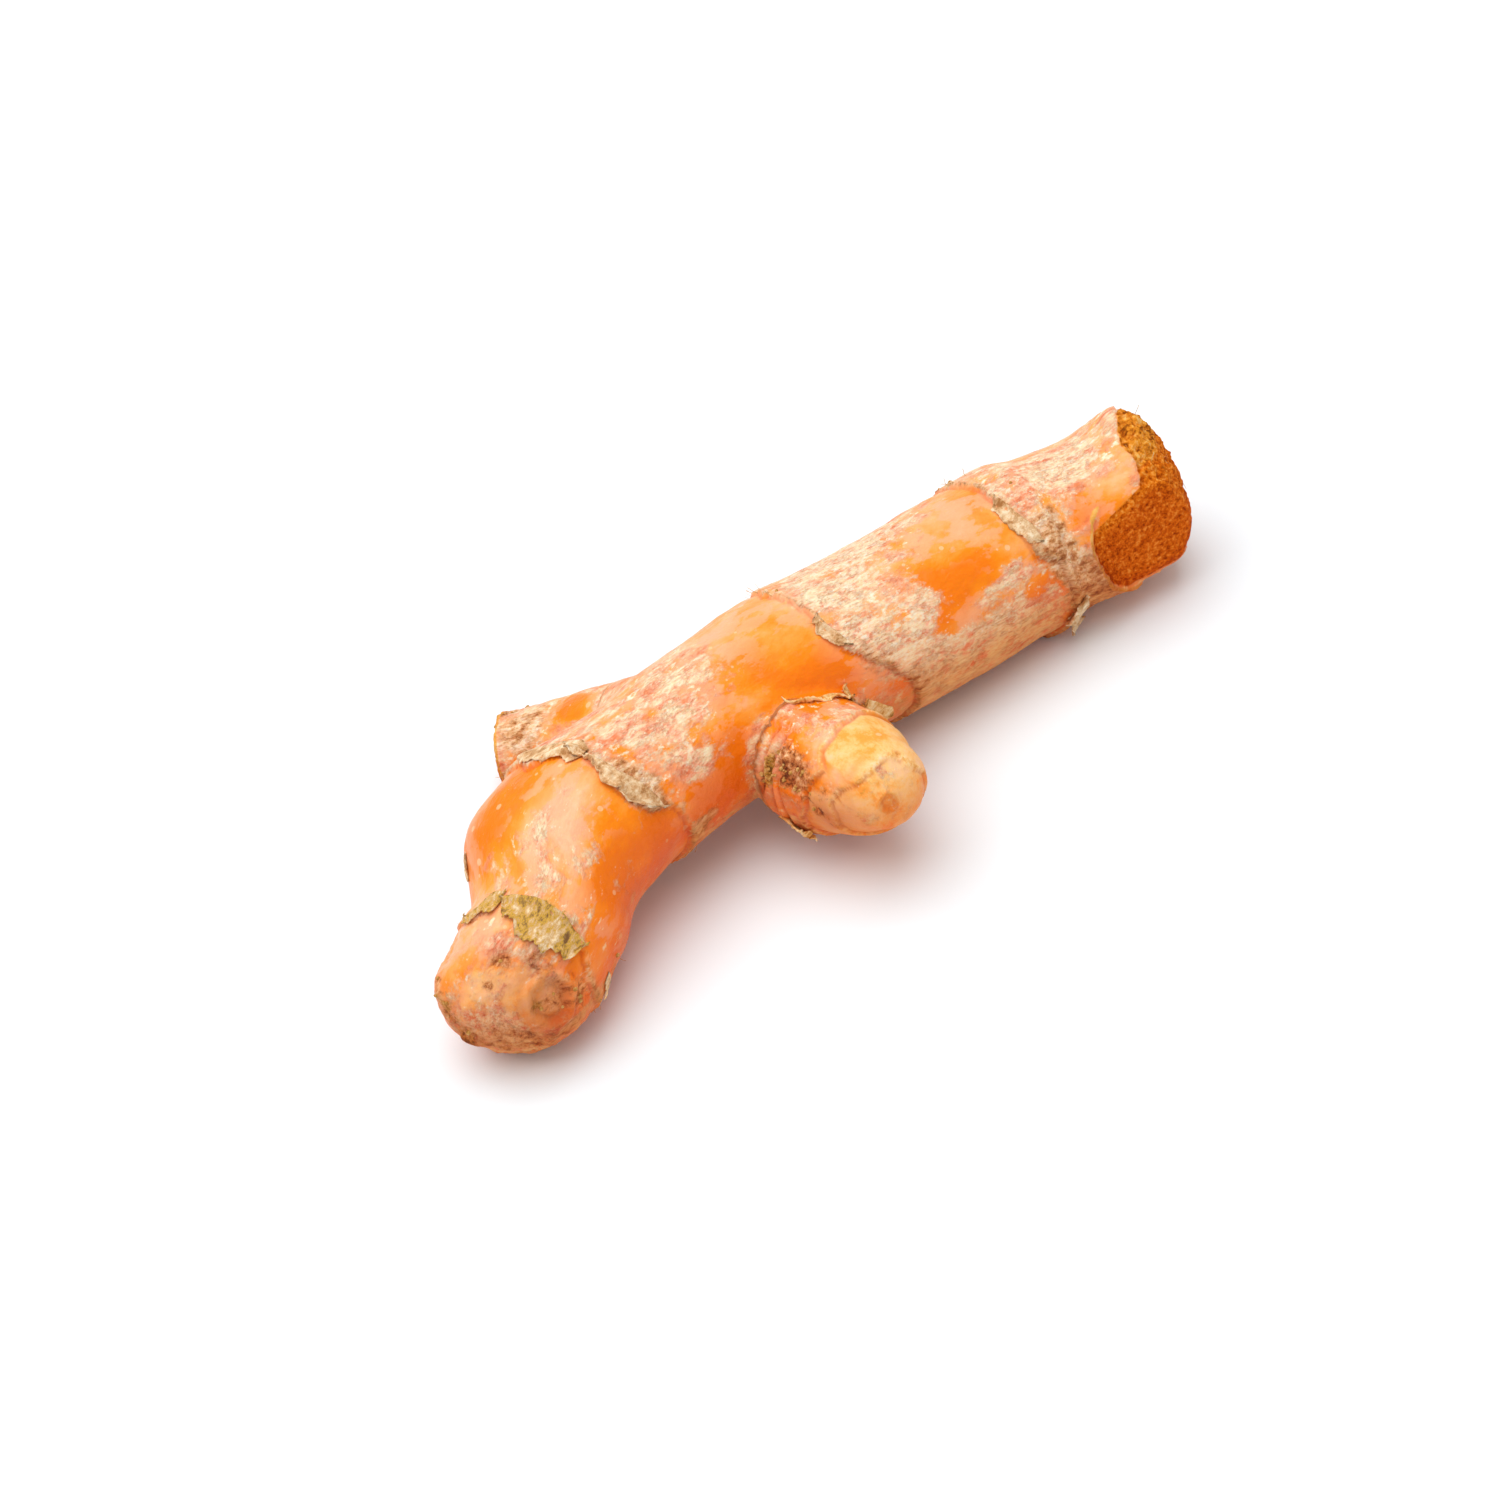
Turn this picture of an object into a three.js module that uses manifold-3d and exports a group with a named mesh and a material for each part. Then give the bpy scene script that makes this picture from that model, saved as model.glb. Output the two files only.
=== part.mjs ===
// A fresh turmeric rhizome: one finger as it was broken from its clump and laid down on a table.
//
// It grew as one piece, so it is one closed solid. A thick bent finger runs along X, with its broken-off base
// at +X and its growing tip at -X. A young side bud stands out at -Y, and a short snapped branch at +Y props
// the finger up from behind. Units are millimetres, +Z is up, and the table is the plane z = 0.

import * as THREE from "three";
import { mergeVertices } from "three/addons/utils/BufferGeometryUtils.js";
import Module from "manifold-3d";

// Driving dimensions. Each station is [x, y, z, radius]: a point on the centre line and how thick it is there.
const FINGER = [
  [43.2, -8.1, 10.1, 8.3],
  [38.9, -6.5, 9.1, 8.1],
  [34.1, -4.3, 8.6, 8.3],
  [30.6, -3.4, 8.5, 8.8],
  [23.8, -2.9, 9.0, 9.0],
  [10.9, -1.6, 9.8, 8.8],
  [1.1, -0.5, 10.7, 8.6],
  [-7.6, 0.2, 11.0, 8.4],
  [-17.8, 0.1, 10.9, 8.1],
  [-25.4, -0.5, 10.9, 8.5],
  [-30.9, -2.0, 10.0, 8.7],
  [-35.0, -5.1, 8.6, 7.6],
  [-39.5, -7.3, 7.3, 7.5],
  [-43.0, -8.1, 6.6, 6.9],
];
// How far the rounded ends stand out beyond the first and the last station.
const FINGER_ENDS = [4.7, 5.5];

const SIDE_BUD = [
  [-3.0, -1.6, 9.1, 6.2],
  [-3.6, -11.8, 9.0, 6.5],
  [-3.7, -17.7, 10.5, 5.9],
  [-4.1, -21.5, 12.1, 4.5],
];
const SIDE_BUD_ENDS = [0, 3.2];

const SNAPPED_BRANCH = [
  [-11.0, 4.6, 12.1, 4.4],
  [-13.8, 10.4, 8.8, 4.5],
  [-16.3, 15.8, 6.1, 4.4],
  [-21.8, 26.2, 1.4, 4.0],
];

// Where a leaf scale was attached, the finger keeps a low ring. Each is [place along the finger, height],
// the place being counted in stations from the base.
const NODE_RINGS = [
  [2.9, 0.25],
  [6.1, 0.3],
  [9.0, 0.3],
  [11.0, 0.35],
];
const NODE_RING_WIDTH = 0.35;

// The base was snapped off, which left a slanting facet on its rounded end, and the branch was snapped straight
// across. Each facet is a point on it, the direction that it faces, and the size of the block taken away there.
const BREAKS = [
  { at: [38.5, -13.6, 10.6], facing: [-0.23, -0.97, 0.01], size: 14 },
  { at: [-20.1, 21.7, 3.2], facing: [-0.65, 0.75, -0.11], size: 30 },
];

const FINGER_SEGMENTS = 40;
const FINGER_RINGS_PER_STATION = 4;
const BRANCH_SEGMENTS = 28;
// Each ring faces the mean direction over this many stations either side, so that rings don't cross in a bend.
const BEND_SMOOTHING = 1.6;
const DOME_RINGS = 6;
const TABLE_SIZE = 240;

// The rings that round an end off, from the wide one outwards. A negative length rounds it backwards.
function domeRings({ centre, along, radius }, length) {
  const rings = [];
  for (let i = 1; i < DOME_RINGS && length !== 0; i++) {
    const turn = (i / DOME_RINGS) * (Math.PI / 2);
    rings.push({
      centre: centre.clone().addScaledVector(along, length * Math.sin(turn)),
      along,
      radius: radius * Math.cos(turn),
    });
  }
  return rings;
}

// A closed skin through the stations, round the centre line. Its first and last ends are flat where their
// length is 0, and are rounded out by that length otherwise.
function grow(stations, segments, [firstLength, lastLength], swell = () => 0) {
  const centreLine = new THREE.CatmullRomCurve3(
    stations.map(([x, y, z]) => new THREE.Vector3(x, y, z)),
    false,
    "centripetal",
  );
  const thickness = new THREE.SplineCurve(stations.map(([, , , r], i) => new THREE.Vector2(i, r)));
  const spans = stations.length - 1;
  const steps = spans * FINGER_RINGS_PER_STATION;

  const rings = [];
  for (let i = 0; i <= steps; i++) {
    const t = i / steps;
    const ahead = centreLine.getPoint(Math.min(1, t + BEND_SMOOTHING / spans));
    const behind = centreLine.getPoint(Math.max(0, t - BEND_SMOOTHING / spans));
    rings.push({
      centre: centreLine.getPoint(t),
      along: ahead.sub(behind).normalize(),
      radius: thickness.getPoint(t).y + swell(t * spans),
    });
  }
  const first = rings[0];
  const last = rings[steps];
  rings.unshift(...domeRings(first, -firstLength).reverse());
  rings.push(...domeRings(last, lastLength));

  const positions = [];
  const sideways = new THREE.Vector3(0, 0, 1);
  for (const { centre, along, radius } of rings) {
    sideways.addScaledVector(along, -sideways.dot(along)).normalize();
    const third = new THREE.Vector3().crossVectors(along, sideways);
    for (let j = 0; j < segments; j++) {
      const angle = (j / segments) * 2 * Math.PI;
      const point = centre
        .clone()
        .addScaledVector(sideways, radius * Math.cos(angle))
        .addScaledVector(third, radius * Math.sin(angle));
      positions.push(...point.toArray());
    }
  }
  const startPole = positions.length / 3;
  positions.push(...first.centre.clone().addScaledVector(first.along, -firstLength).toArray());
  const endPole = startPole + 1;
  positions.push(...last.centre.clone().addScaledVector(last.along, lastLength).toArray());

  const faces = [];
  const lastRing = (rings.length - 1) * segments;
  for (let j = 0; j < segments; j++) {
    const next = (j + 1) % segments;
    faces.push(startPole, next, j);
    faces.push(endPole, lastRing + j, lastRing + next);
    for (let row = 0; row < lastRing; row += segments) {
      faces.push(row + j, row + next, row + segments + next);
      faces.push(row + j, row + segments + next, row + segments + j);
    }
  }
  const geometry = new THREE.BufferGeometry();
  geometry.setAttribute("position", new THREE.Float32BufferAttribute(positions, 3));
  geometry.setIndex(faces);
  return geometry;
}

const wasm = await Module();
wasm.setup();

function toSolid(geometry) {
  const bare = geometry.clone();
  bare.deleteAttribute("normal");
  bare.deleteAttribute("uv");
  const merged = mergeVertices(bare, 1e-4);
  return new wasm.Manifold(
    new wasm.Mesh({
      numProp: 3,
      vertProperties: new Float32Array(merged.attributes.position.array),
      triVerts: new Uint32Array(merged.index.array),
    }),
  );
}

function toGeometry(solid) {
  const mesh = solid.getMesh();
  const geometry = new THREE.BufferGeometry();
  geometry.setAttribute("position", new THREE.BufferAttribute(mesh.vertProperties, 3));
  geometry.setIndex(new THREE.BufferAttribute(mesh.triVerts, 1));
  geometry.computeVertexNormals();
  return geometry;
}

// A block of that size whose one face is centred on the point, so that taking it away leaves a flat facing
// that way.
function blockBeyond({ at, facing, size }) {
  const outward = new THREE.Vector3(...facing).normalize();
  const block = new THREE.BoxGeometry(size, size, size);
  block.translate(0, 0, size / 2);
  block.applyQuaternion(new THREE.Quaternion().setFromUnitVectors(new THREE.Vector3(0, 0, 1), outward));
  block.translate(...at);
  return toSolid(block);
}

function nodeSwell(place) {
  return NODE_RINGS.reduce(
    (sum, [at, height]) => sum + height * Math.exp(-(((place - at) / NODE_RING_WIDTH) ** 2)),
    0,
  );
}

function rhizomeGeometry() {
  const [baseBreak, branchBreak] = BREAKS.map(blockBeyond);
  const finger = toSolid(grow(FINGER, FINGER_SEGMENTS, FINGER_ENDS, nodeSwell)).subtract(baseBreak);
  const sideBud = toSolid(grow(SIDE_BUD, BRANCH_SEGMENTS, SIDE_BUD_ENDS));
  const branch = toSolid(grow(SNAPPED_BRANCH, BRANCH_SEGMENTS, [0, 0])).subtract(branchBreak);

  // The weight of the rhizome presses small flats where it touches the table.
  const table = new THREE.BoxGeometry(TABLE_SIZE, TABLE_SIZE, TABLE_SIZE);
  table.translate(0, 0, -TABLE_SIZE / 2);
  return toGeometry(finger.add(sideBud).add(branch).subtract(toSolid(table)));
}

const rootSkin = new THREE.MeshStandardMaterial({ color: 0xf2a66a, roughness: 0.6, metalness: 0 });

const turmeric = new THREE.Group();
const rhizome = new THREE.Mesh(rhizomeGeometry(), rootSkin);
rhizome.name = "rhizome";
turmeric.add(rhizome);

export default turmeric;
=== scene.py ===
# %% [markdown]
# # A fresh turmeric finger
# This lesson dresses one turmeric rhizome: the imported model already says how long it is, how it bends and
# how it lies on the table. What is missing is its skin. A fresh finger is covered by thin leaf scales,
# like paper sleeves, each one torn along its free edge. Between the sleeves the bare orange skin shows.
# The steps are the camera, the light, an even mesh, coordinates that follow the root, the relief of the
# skin, its finish, the loose scales, and the fibres and crumbs.

# %% The tools and the fixed model
import math

import bmesh
import bpy
import numpy as np
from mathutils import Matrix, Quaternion, Vector, bvhtree, noise


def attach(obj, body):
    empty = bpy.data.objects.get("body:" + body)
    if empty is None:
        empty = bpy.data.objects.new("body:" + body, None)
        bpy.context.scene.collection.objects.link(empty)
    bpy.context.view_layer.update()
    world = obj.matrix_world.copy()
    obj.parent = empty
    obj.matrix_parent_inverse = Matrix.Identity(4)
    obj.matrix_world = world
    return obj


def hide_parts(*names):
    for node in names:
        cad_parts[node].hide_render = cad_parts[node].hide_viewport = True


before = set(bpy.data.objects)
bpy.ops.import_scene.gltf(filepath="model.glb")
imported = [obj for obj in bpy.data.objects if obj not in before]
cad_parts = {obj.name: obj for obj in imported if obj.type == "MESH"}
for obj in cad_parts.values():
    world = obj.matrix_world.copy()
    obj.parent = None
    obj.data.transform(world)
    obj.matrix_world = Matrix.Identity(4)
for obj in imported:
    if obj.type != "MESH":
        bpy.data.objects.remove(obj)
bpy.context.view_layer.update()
scene = bpy.context.scene
MM = 0.001


def new_object(name, data):
    """A new object in the scene, at the origin."""
    thing = bpy.data.objects.new(name, data)
    scene.collection.objects.link(thing)
    return thing


# %% [markdown]
# ## Camera
# A long lens from half a metre away shows a small object without distortion. The camera looks down at the
# finger from its bud's side and is rolled a little, so that the broken base points to the upper right.

# %% Camera
LOOK_FROM = Vector((-0.20001, -0.32652, 0.34270))
LOOK_AT = Vector((-0.00041, 0.00728, -0.00250))
CAMERA_ROLL = math.radians(-15.16)
LENS = 121.3

camera = new_object("camera", bpy.data.cameras.new("camera"))
scene.camera = camera
camera.data.lens = LENS
camera.data.sensor_width = 36
camera.location = LOOK_FROM
camera.rotation_mode = "QUATERNION"
towards = (LOOK_AT - LOOK_FROM).to_track_quat("-Z", "Y")
camera.rotation_quaternion = towards @ Quaternion((0, 0, 1), CAMERA_ROLL)
print("camera distance in mm:", round((LOOK_AT - LOOK_FROM).length / MM))

# %% [markdown]
# ## Three helpers for finishes
# Colours are written as the hex values a painter would pick on a screen. Blender mixes light in linear
# values, so one function turns the one into the other. A second one starts a finish and sets the values
# that are the same all over it, and a third adds a node, with its settings and its links.

# %% Colour and node helpers
def paint(hex_value):
    """The linear colour of an sRGB hex value such as "FCBA8E"."""
    channels = [int(hex_value[i : i + 2], 16) / 255 for i in (0, 2, 4)]
    return tuple(c / 12.92 if c <= 0.04045 else ((c + 0.055) / 1.055) ** 2.4 for c in channels) + (1.0,)


def new_finish(name, values):
    """A finish with its shader's own values set. Returns it, its tree and its shader."""
    finish = bpy.data.materials.new(name)
    finish.use_nodes = True
    shader = finish.node_tree.nodes["Principled BSDF"]
    for socket, value in values.items():
        shader.inputs[socket].default_value = value
    return finish, finish.node_tree, shader


def add(tree, kind, settings=None, links=None):
    """A new node. Settings and links name its inputs, or its own properties."""
    node = tree.nodes.new(kind)
    for key, value in (settings or {}).items():
        if isinstance(key, str) and hasattr(node, key):
            setattr(node, key, value)
        else:
            node.inputs[key].default_value = value
    for key, source in (links or {}).items():
        tree.links.new(source, node.inputs[key])
    return node


# %% [markdown]
# ## Table and light
# The table is a plain white sheet, wide enough that its edge stays out of sight. One broad soft box hangs
# nearly overhead, a little to the left, and a white room fills the shadows. A light so wide and so high
# makes shadows that are soft and stay close to the root, as on a product table.

# %% Table, soft box and room
TABLE_SIDE = 3.0
SOFT_BOX_AT = Vector((-0.13, 0.15, 1.12))
SOFT_BOX_SIDE = 1.5
SOFT_BOX_POWER = 14.5
ROOM_LIGHT = 0.60

# Matt white card: an even, nearly white ground with no gloss, so that only the soft shadow shows on it.
CARD = {"Base Color": paint("EFF4F7"), "Roughness": 0.9, "Specular IOR Level": 0.1}
bpy.ops.mesh.primitive_plane_add(size=TABLE_SIDE)
table = bpy.context.object
table.name = "table"
table.data.materials.append(new_finish("matt white table", CARD)[0])

soft_box = new_object("soft box", bpy.data.lights.new("soft box", "AREA"))
soft_box.data.size = SOFT_BOX_SIDE
soft_box.data.energy = SOFT_BOX_POWER
soft_box.location = SOFT_BOX_AT
soft_box.rotation_euler = (-SOFT_BOX_AT).to_track_quat("-Z", "Y").to_euler()

scene.world = bpy.data.worlds.new("white room")
scene.world.use_nodes = True
background = scene.world.node_tree.nodes["Background"]
background.inputs["Color"].default_value = (1, 1, 1, 1)
background.inputs["Strength"].default_value = ROOM_LIGHT
scene.view_settings.view_transform = "Standard"
print("soft box", SOFT_BOX_SIDE, "m wide,", round(SOFT_BOX_AT.length, 2), "m away")

# %% [markdown]
# ## An even skin
# The model's surface is made of long flat triangles, which would show as facets, and detail can't be
# raised on them. Modelling the root again would lose its exact size. So a copy is remeshed with small
# even squares: the remesh keeps the shape, and a few rounds of relaxing melt the facets and the hard
# creases between the limbs.

# %% The remeshed copy
SKIN_GRID = 0.306 * MM
WELD_REACH = 0.001 * MM
RELAX_ROUNDS = 9

body = new_object("turmeric_finger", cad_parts["rhizome"].data.copy())
welded = bmesh.new()
welded.from_mesh(body.data)
bmesh.ops.remove_doubles(welded, verts=welded.verts, dist=WELD_REACH)
welded.to_mesh(body.data)
welded.free()
grid = body.modifiers.new("even squares", "REMESH")
grid.mode = "VOXEL"
grid.voxel_size = SKIN_GRID
evaluated = body.evaluated_get(bpy.context.evaluated_depsgraph_get())
body.data = bpy.data.meshes.new_from_object(evaluated)
body.modifiers.clear()


def read(mesh, collection, name, width, kind=np.float32):
    """A mesh's numbers as an array with `width` numbers in each row."""
    values = np.empty(len(getattr(mesh, collection)) * width, kind)
    getattr(mesh, collection).foreach_get(name, values)
    return values.reshape(-1, width).astype(float if kind is np.float32 else kind)


def relax(values, rounds, edges):
    """Every vertex's value moves half-way to the mean of its neighbours', a number of times."""
    neighbours = np.bincount(edges.ravel(), minlength=len(values))[:, None]
    for _ in range(rounds):
        total = np.zeros_like(values)
        for here, there in ((0, 1), (1, 0)):
            for axis in range(values.shape[1]):
                total[:, axis] += np.bincount(edges[:, here], values[edges[:, there], axis], len(values))
        values = values + 0.5 * (total / neighbours - values)
    return values


edges = read(body.data, "edges", "vertices", 2, np.int32)
skin = relax(read(body.data, "vertices", "co", 3) / MM, RELAX_ROUNDS, edges)
print("skin points:", len(skin), "faces:", len(body.data.polygons))

# %% [markdown]
# ## Coordinates that follow the root
# Scales, rings and fibres follow the way the root grew, which is neither X nor Y. Each limb gets a centre
# line through a few stations in millimetres. Every skin point then knows how far along its limb it is,
# which way round it is (0 is up, minus is the bud's side) and where it would be if the limb were pulled
# straight.

# %% Centre lines
LIMBS = {
    # mm in X, Y and Z, from each limb's root or broken end to its tip
    "finger": [
        (47.6, -9.7, 11.1), (43.2, -8.1, 10.1), (38.9, -6.5, 9.1), (34.1, -4.3, 8.6), (30.6, -3.4, 8.5),
        (23.8, -2.9, 9.0), (10.9, -1.6, 9.8), (1.1, -0.5, 10.7), (-7.6, 0.2, 11.0), (-17.8, 0.1, 10.9),
        (-25.4, -0.5, 10.9), (-30.9, -2.0, 10.0), (-35.0, -5.1, 8.6), (-39.5, -7.3, 7.3),
        (-43.0, -8.1, 6.6), (-48.4, -9.3, 5.5),
    ],
    "bud": [
        (-3.0, -1.6, 9.1), (-3.6, -11.8, 9.0), (-3.7, -17.7, 10.5), (-4.1, -21.5, 12.1),
        (-4.4, -24.4, 13.4),
    ],
    "branch": [(-11.0, 4.6, 12.1), (-13.8, 10.4, 8.8), (-16.3, 15.8, 6.1), (-21.8, 26.2, 1.4)],
}
LIMB_RADIUS = {"finger": 8.4, "bud": 6.1, "branch": 4.4}
LINE_STEP = 0.25
CURVE_STEPS = 24
BLOCK = 4000
TURN_REACH = {"finger": 6.0, "bud": 2.0, "branch": 2.0}


def centre_line(stations, reach):
    """Points every LINE_STEP mm on a smooth curve through the stations, with three directions at each."""
    p = np.array(stations, float)
    p = np.vstack([2 * p[0] - p[1], p, 2 * p[-1] - p[-2]])
    t = np.linspace(0, 1, CURVE_STEPS, endpoint=False)[:, None]
    spans = []
    for a, b, c, d in zip(p, p[1:], p[2:], p[3:]):
        bend = 2 * a - 5 * b + 4 * c - d
        swing = 3 * b - a - 3 * c + d
        spans.append(b + 0.5 * (t * (c - a) + t**2 * bend + t**3 * swing))
    curve = np.vstack(spans + [p[-2:-1]])
    length = np.concatenate([[0], np.cumsum(np.linalg.norm(np.diff(curve, axis=0), axis=1))])
    place = np.arange(0, length[-1], LINE_STEP)
    at, ahead, behind = (
        np.stack([np.interp(place + shift, length, curve[:, axis]) for axis in range(3)], 1)
        for shift in (0, reach, -reach)
    )
    along = (ahead - behind) / np.linalg.norm(ahead - behind, axis=1)[:, None]
    up = np.array([0, 0, 1]) - along[:, 2:3] * along
    up /= np.linalg.norm(up, axis=1)[:, None]
    return {"place": place, "at": at, "along": along, "side": np.cross(along, up), "up": up}


def pull_straight(points, line):
    """Where each point would be on a straight limb: mm along, mm to the side, mm up."""
    straight = np.empty_like(points)
    for start in range(0, len(points), BLOCK):
        block = slice(start, start + BLOCK)
        nearest = ((points[block, None] - line["at"][None]) ** 2).sum(2).argmin(1)
        off = points[block] - line["at"][nearest]
        for axis, way in enumerate(("along", "side", "up")):
            straight[block, axis] = (off * line[way][nearest]).sum(1)
        straight[block, 0] += line["place"][nearest]
    return straight


lines = {limb: centre_line(stations, TURN_REACH[limb]) for limb, stations in LIMBS.items()}
straight = {limb: pull_straight(skin, line) for limb, line in lines.items()}
around = {limb: np.degrees(np.arctan2(s[:, 1], s[:, 2])) for limb, s in straight.items()}
outside = {
    limb: np.hypot(straight[limb][:, 1], straight[limb][:, 2]) / LIMB_RADIUS[limb] for limb in LIMBS
}
print("finger", round(lines["finger"]["place"][-1]), "mm along its bend")

# %% [markdown]
# ## Three tools for patterns
# Nearly every pattern below is a soft step, a smooth noise or a single ridge, so each of the three gets a
# short name. A seed shifts the noise to another place, so no two patterns fall together.

# %% Soft steps, ripples and ridges
SEED_SHIFT = (17.3, -9.1, 5.7)


def ease(values, low, high):
    """0 below low, 1 above high, and a soft step between them."""
    t = np.clip((values - low) / (high - low), 0, 1)
    return t * t * (3 - 2 * t)


def ripple(points, size, seed, octaves=1, stretch=(1, 1, 1)):
    """Smooth noise of about -1 to 1, with bumps `size` mm across, longer where stretch is more than 1."""
    scaled = points / (size * np.array(stretch)) + np.array(SEED_SHIFT) * seed
    return np.array([noise.fractal(p, 0.8, 2.0, octaves) for p in scaled.tolist()])


def bell(values, width):
    """1 where the value is 0, fading to nothing over about two widths."""
    return np.exp(-((values / width) ** 2))


# %% [markdown]
# ## Leaf scales
# A leaf scale starts at a ring and wraps the finger towards the tip, where it tears off in a ragged edge.
# Here each edge is a short list of places round its limb. The scale is thick at that edge and thins out
# behind it, so the skin steps down at each edge and the next stretch lies bare. The bud pushes out
# through the finger's own skin, which leaves a collar, and carries two young scales of its own.

# %% Ragged edges of the scales
SCALES = [
    # thick: the step at the edge in mm, fade: the mm over which the scale thins out behind it,
    # tear: how ragged the edge is in mm, wrinkled: 0 to 1, edge: (degrees round, mm along)
    {
        "name": "first", "limb": "finger", "thick": 0.50, "fade": 14.0, "tear": 0.8, "wrinkled": 1.0,
        "edge": [
            (-160, 20.5), (-122, 17.8), (-95, 17.0), (-68, 18.7), (-60, 20.5), (-28, 21.5), (0, 21.9),
            (30, 22.4), (100, 24),
        ],
    },
    {
        "name": "second", "limb": "finger", "thick": 0.42, "fade": 9.0, "tear": 0.6, "wrinkled": 0.55,
        "edge": [
            (-170, 40.0), (-120, 38.2), (-91, 38.8), (-66, 41.6), (-51, 44.2), (-39, 45.4), (-13, 45.8),
            (20, 47), (90, 46),
        ],
    },
    {
        "name": "third", "limb": "finger", "thick": 0.50, "fade": 8.0, "tear": 0.5, "wrinkled": 0.5,
        "edge": [
            (-170, 70.0), (-108, 68.3), (-73, 69.2), (-64, 72.0), (-46, 73.5), (-29, 73.6), (-15, 72.7),
            (2, 72.4), (24, 75.6), (90, 75),
        ],
    },
    {
        "name": "last", "limb": "finger", "thick": 0.32, "fade": 4.0, "tear": 0.7, "wrinkled": 0.35,
        "edge": [
            (-150, 92.0), (-90, 91.5), (-62, 90.2), (-49, 89.2), (-33, 89.0), (-3, 88.6), (12, 88.8),
            (31, 91.5), (100, 90),
        ],
    },
    {
        "name": "collar", "limb": "bud", "thick": 0.30, "fade": 1.0, "tear": 0.35,
        "edge": [
            (-170, 8.0), (-99, 7.2), (-82, 7.5), (-20, 8.9), (-10, 8.2), (3, 6.1), (36, 6.4), (66, 6.9),
            (86, 7.3), (120, 8.2),
        ],
    },
    {
        "name": "bud's first", "limb": "bud", "thick": 0.42, "fade": 5.0, "tear": 0.45,
        "edge": [
            (-150, 13.0), (-60, 14.2), (-26, 15.4), (0, 16.7), (32, 17.0), (46, 18.2), (62, 16.4),
            (83, 14.7), (99, 12.9), (150, 12.5),
        ],
    },
    {
        "name": "bud's second", "limb": "bud", "thick": 0.28, "fade": 3.0, "tear": 0.35,
        "edge": [
            (-160, 19.5), (-105, 22.0), (-70, 22.9), (25, 23.0), (52, 22.4), (66, 20.4), (82, 18.9),
            (105, 18.2), (140, 17.6),
        ],
    },
]

TEAR_SIZE = 3.2
beyond = {}
for number, scale in enumerate(SCALES):
    angle, place = np.array(scale["edge"], float).T
    line_there = np.interp(around[scale["limb"]], angle, place, period=360)
    tear = ripple(straight[scale["limb"]], TEAR_SIZE, 3 + number, 4)
    beyond[scale["name"]] = straight[scale["limb"]][:, 0] - line_there - scale["tear"] * tear
print(len(SCALES), "torn edges")

# %% [markdown]
# ## Which limb a point is on
# Where the bud and the branch grow out, their skin and the finger's meet. The bud's skin starts sharply
# at its collar, and the branch's fades in over a few millimetres. The shares, 0 to 1, keep each pattern
# on its own limb. The grain itself can't be blended, because half of one limb's direction and half of
# another's is neither, so it switches at once where a limb's share passes a half, and each limb gets its
# own piece of noise.

# %% Shares of the limbs
by_bud = ease(straight["bud"][:, 0], 3.0, 4.0) * ease(1.42 - outside["bud"], 0.0, 0.25)
on_bud = by_bud * ease(beyond["collar"], -0.15, 0.15)
on_branch = ease(straight["branch"][:, 0], 3.0, 5.5) * ease(1.6 - outside["branch"], 0.0, 0.3)
on_branch = relax(on_branch[:, None], 3, edges)[:, 0]
on_finger = np.clip(1 - on_bud - on_branch, 0, 1)
shares = {"finger": on_finger, "bud": on_bud, "branch": on_branch}
GRAIN_ASIDE = {"bud": 40, "branch": 80}
grain = straight["finger"].copy()
for limb, aside in GRAIN_ASIDE.items():
    own = shares[limb] > 0.5
    grain[own] = straight[limb][own] + [0, aside, 0]
print("shares:", {limb: round(float(share.mean()), 3) for limb, share in shares.items()})

# %% [markdown]
# ## Height of the scales
# Under the edge the skin is thick and crumpled, and just beyond it there is a thin dark groove. `margin`
# keeps the wrinkled strip behind the edge and `edge_band` the edge itself.

# %% Steps, grooves and margins
EDGE_SOFT = 0.15
EDGE_WIDE = 0.45
MARGIN_WIDE = 1.6
GROOVE_DEEP = 0.10
GROOVE_WIDE = 0.5
COLLAR_STRENGTH = 0.6

scale_height = np.zeros(len(skin))
edge_band = np.zeros(len(skin))
young_edge = np.zeros(len(skin))
margin = np.zeros(len(skin))
for scale in SCALES:
    gap = beyond[scale["name"]]
    here = by_bud if scale["name"] == "collar" else shares[scale["limb"]]
    bare = ease(gap, -EDGE_SOFT, EDGE_SOFT)
    under = (1 - bare) * here
    back = np.minimum(gap, 0)
    scale_height += scale["thick"] * under * np.exp(back / scale["fade"])
    scale_height -= GROOVE_DEEP * here * bare * np.exp(-np.maximum(gap, 0) / GROOVE_WIDE)
    strength = under * np.exp(back / EDGE_WIDE)
    if scale["limb"] == "finger":
        edge_band = np.maximum(edge_band, strength)
        margin = np.maximum(margin, scale["wrinkled"] * under * np.exp(back / MARGIN_WIDE))
    else:
        strength *= COLLAR_STRENGTH if scale["name"] == "collar" else 1.0
        young_edge = np.maximum(young_edge, strength)
edge_band *= np.clip(0.8 + 0.5 * ripple(straight["finger"], 5.0, 40, 2), 0.3, 1)
print("points on a torn edge:", int((edge_band > 0.4).sum()))

# %% [markdown]
# ## Where the scales have worn away
# Just past an edge the finger is bare and orange. Towards the next edge more and more dry, papery skin is
# left. `cover` holds that as a number. No rule says where a root was rubbed or bruised, so patches are
# listed one by one, each with a place along and round its limb, a length and a width. They add or take away
# paper, grey weathering, vivid orange, brown scars, stains with one painted shadow beside the olive flake,
# and olive crust.

# %% Cover between the edges
FINGER_SCALES = [scale["name"] for scale in SCALES if scale["limb"] == "finger"]
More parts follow.
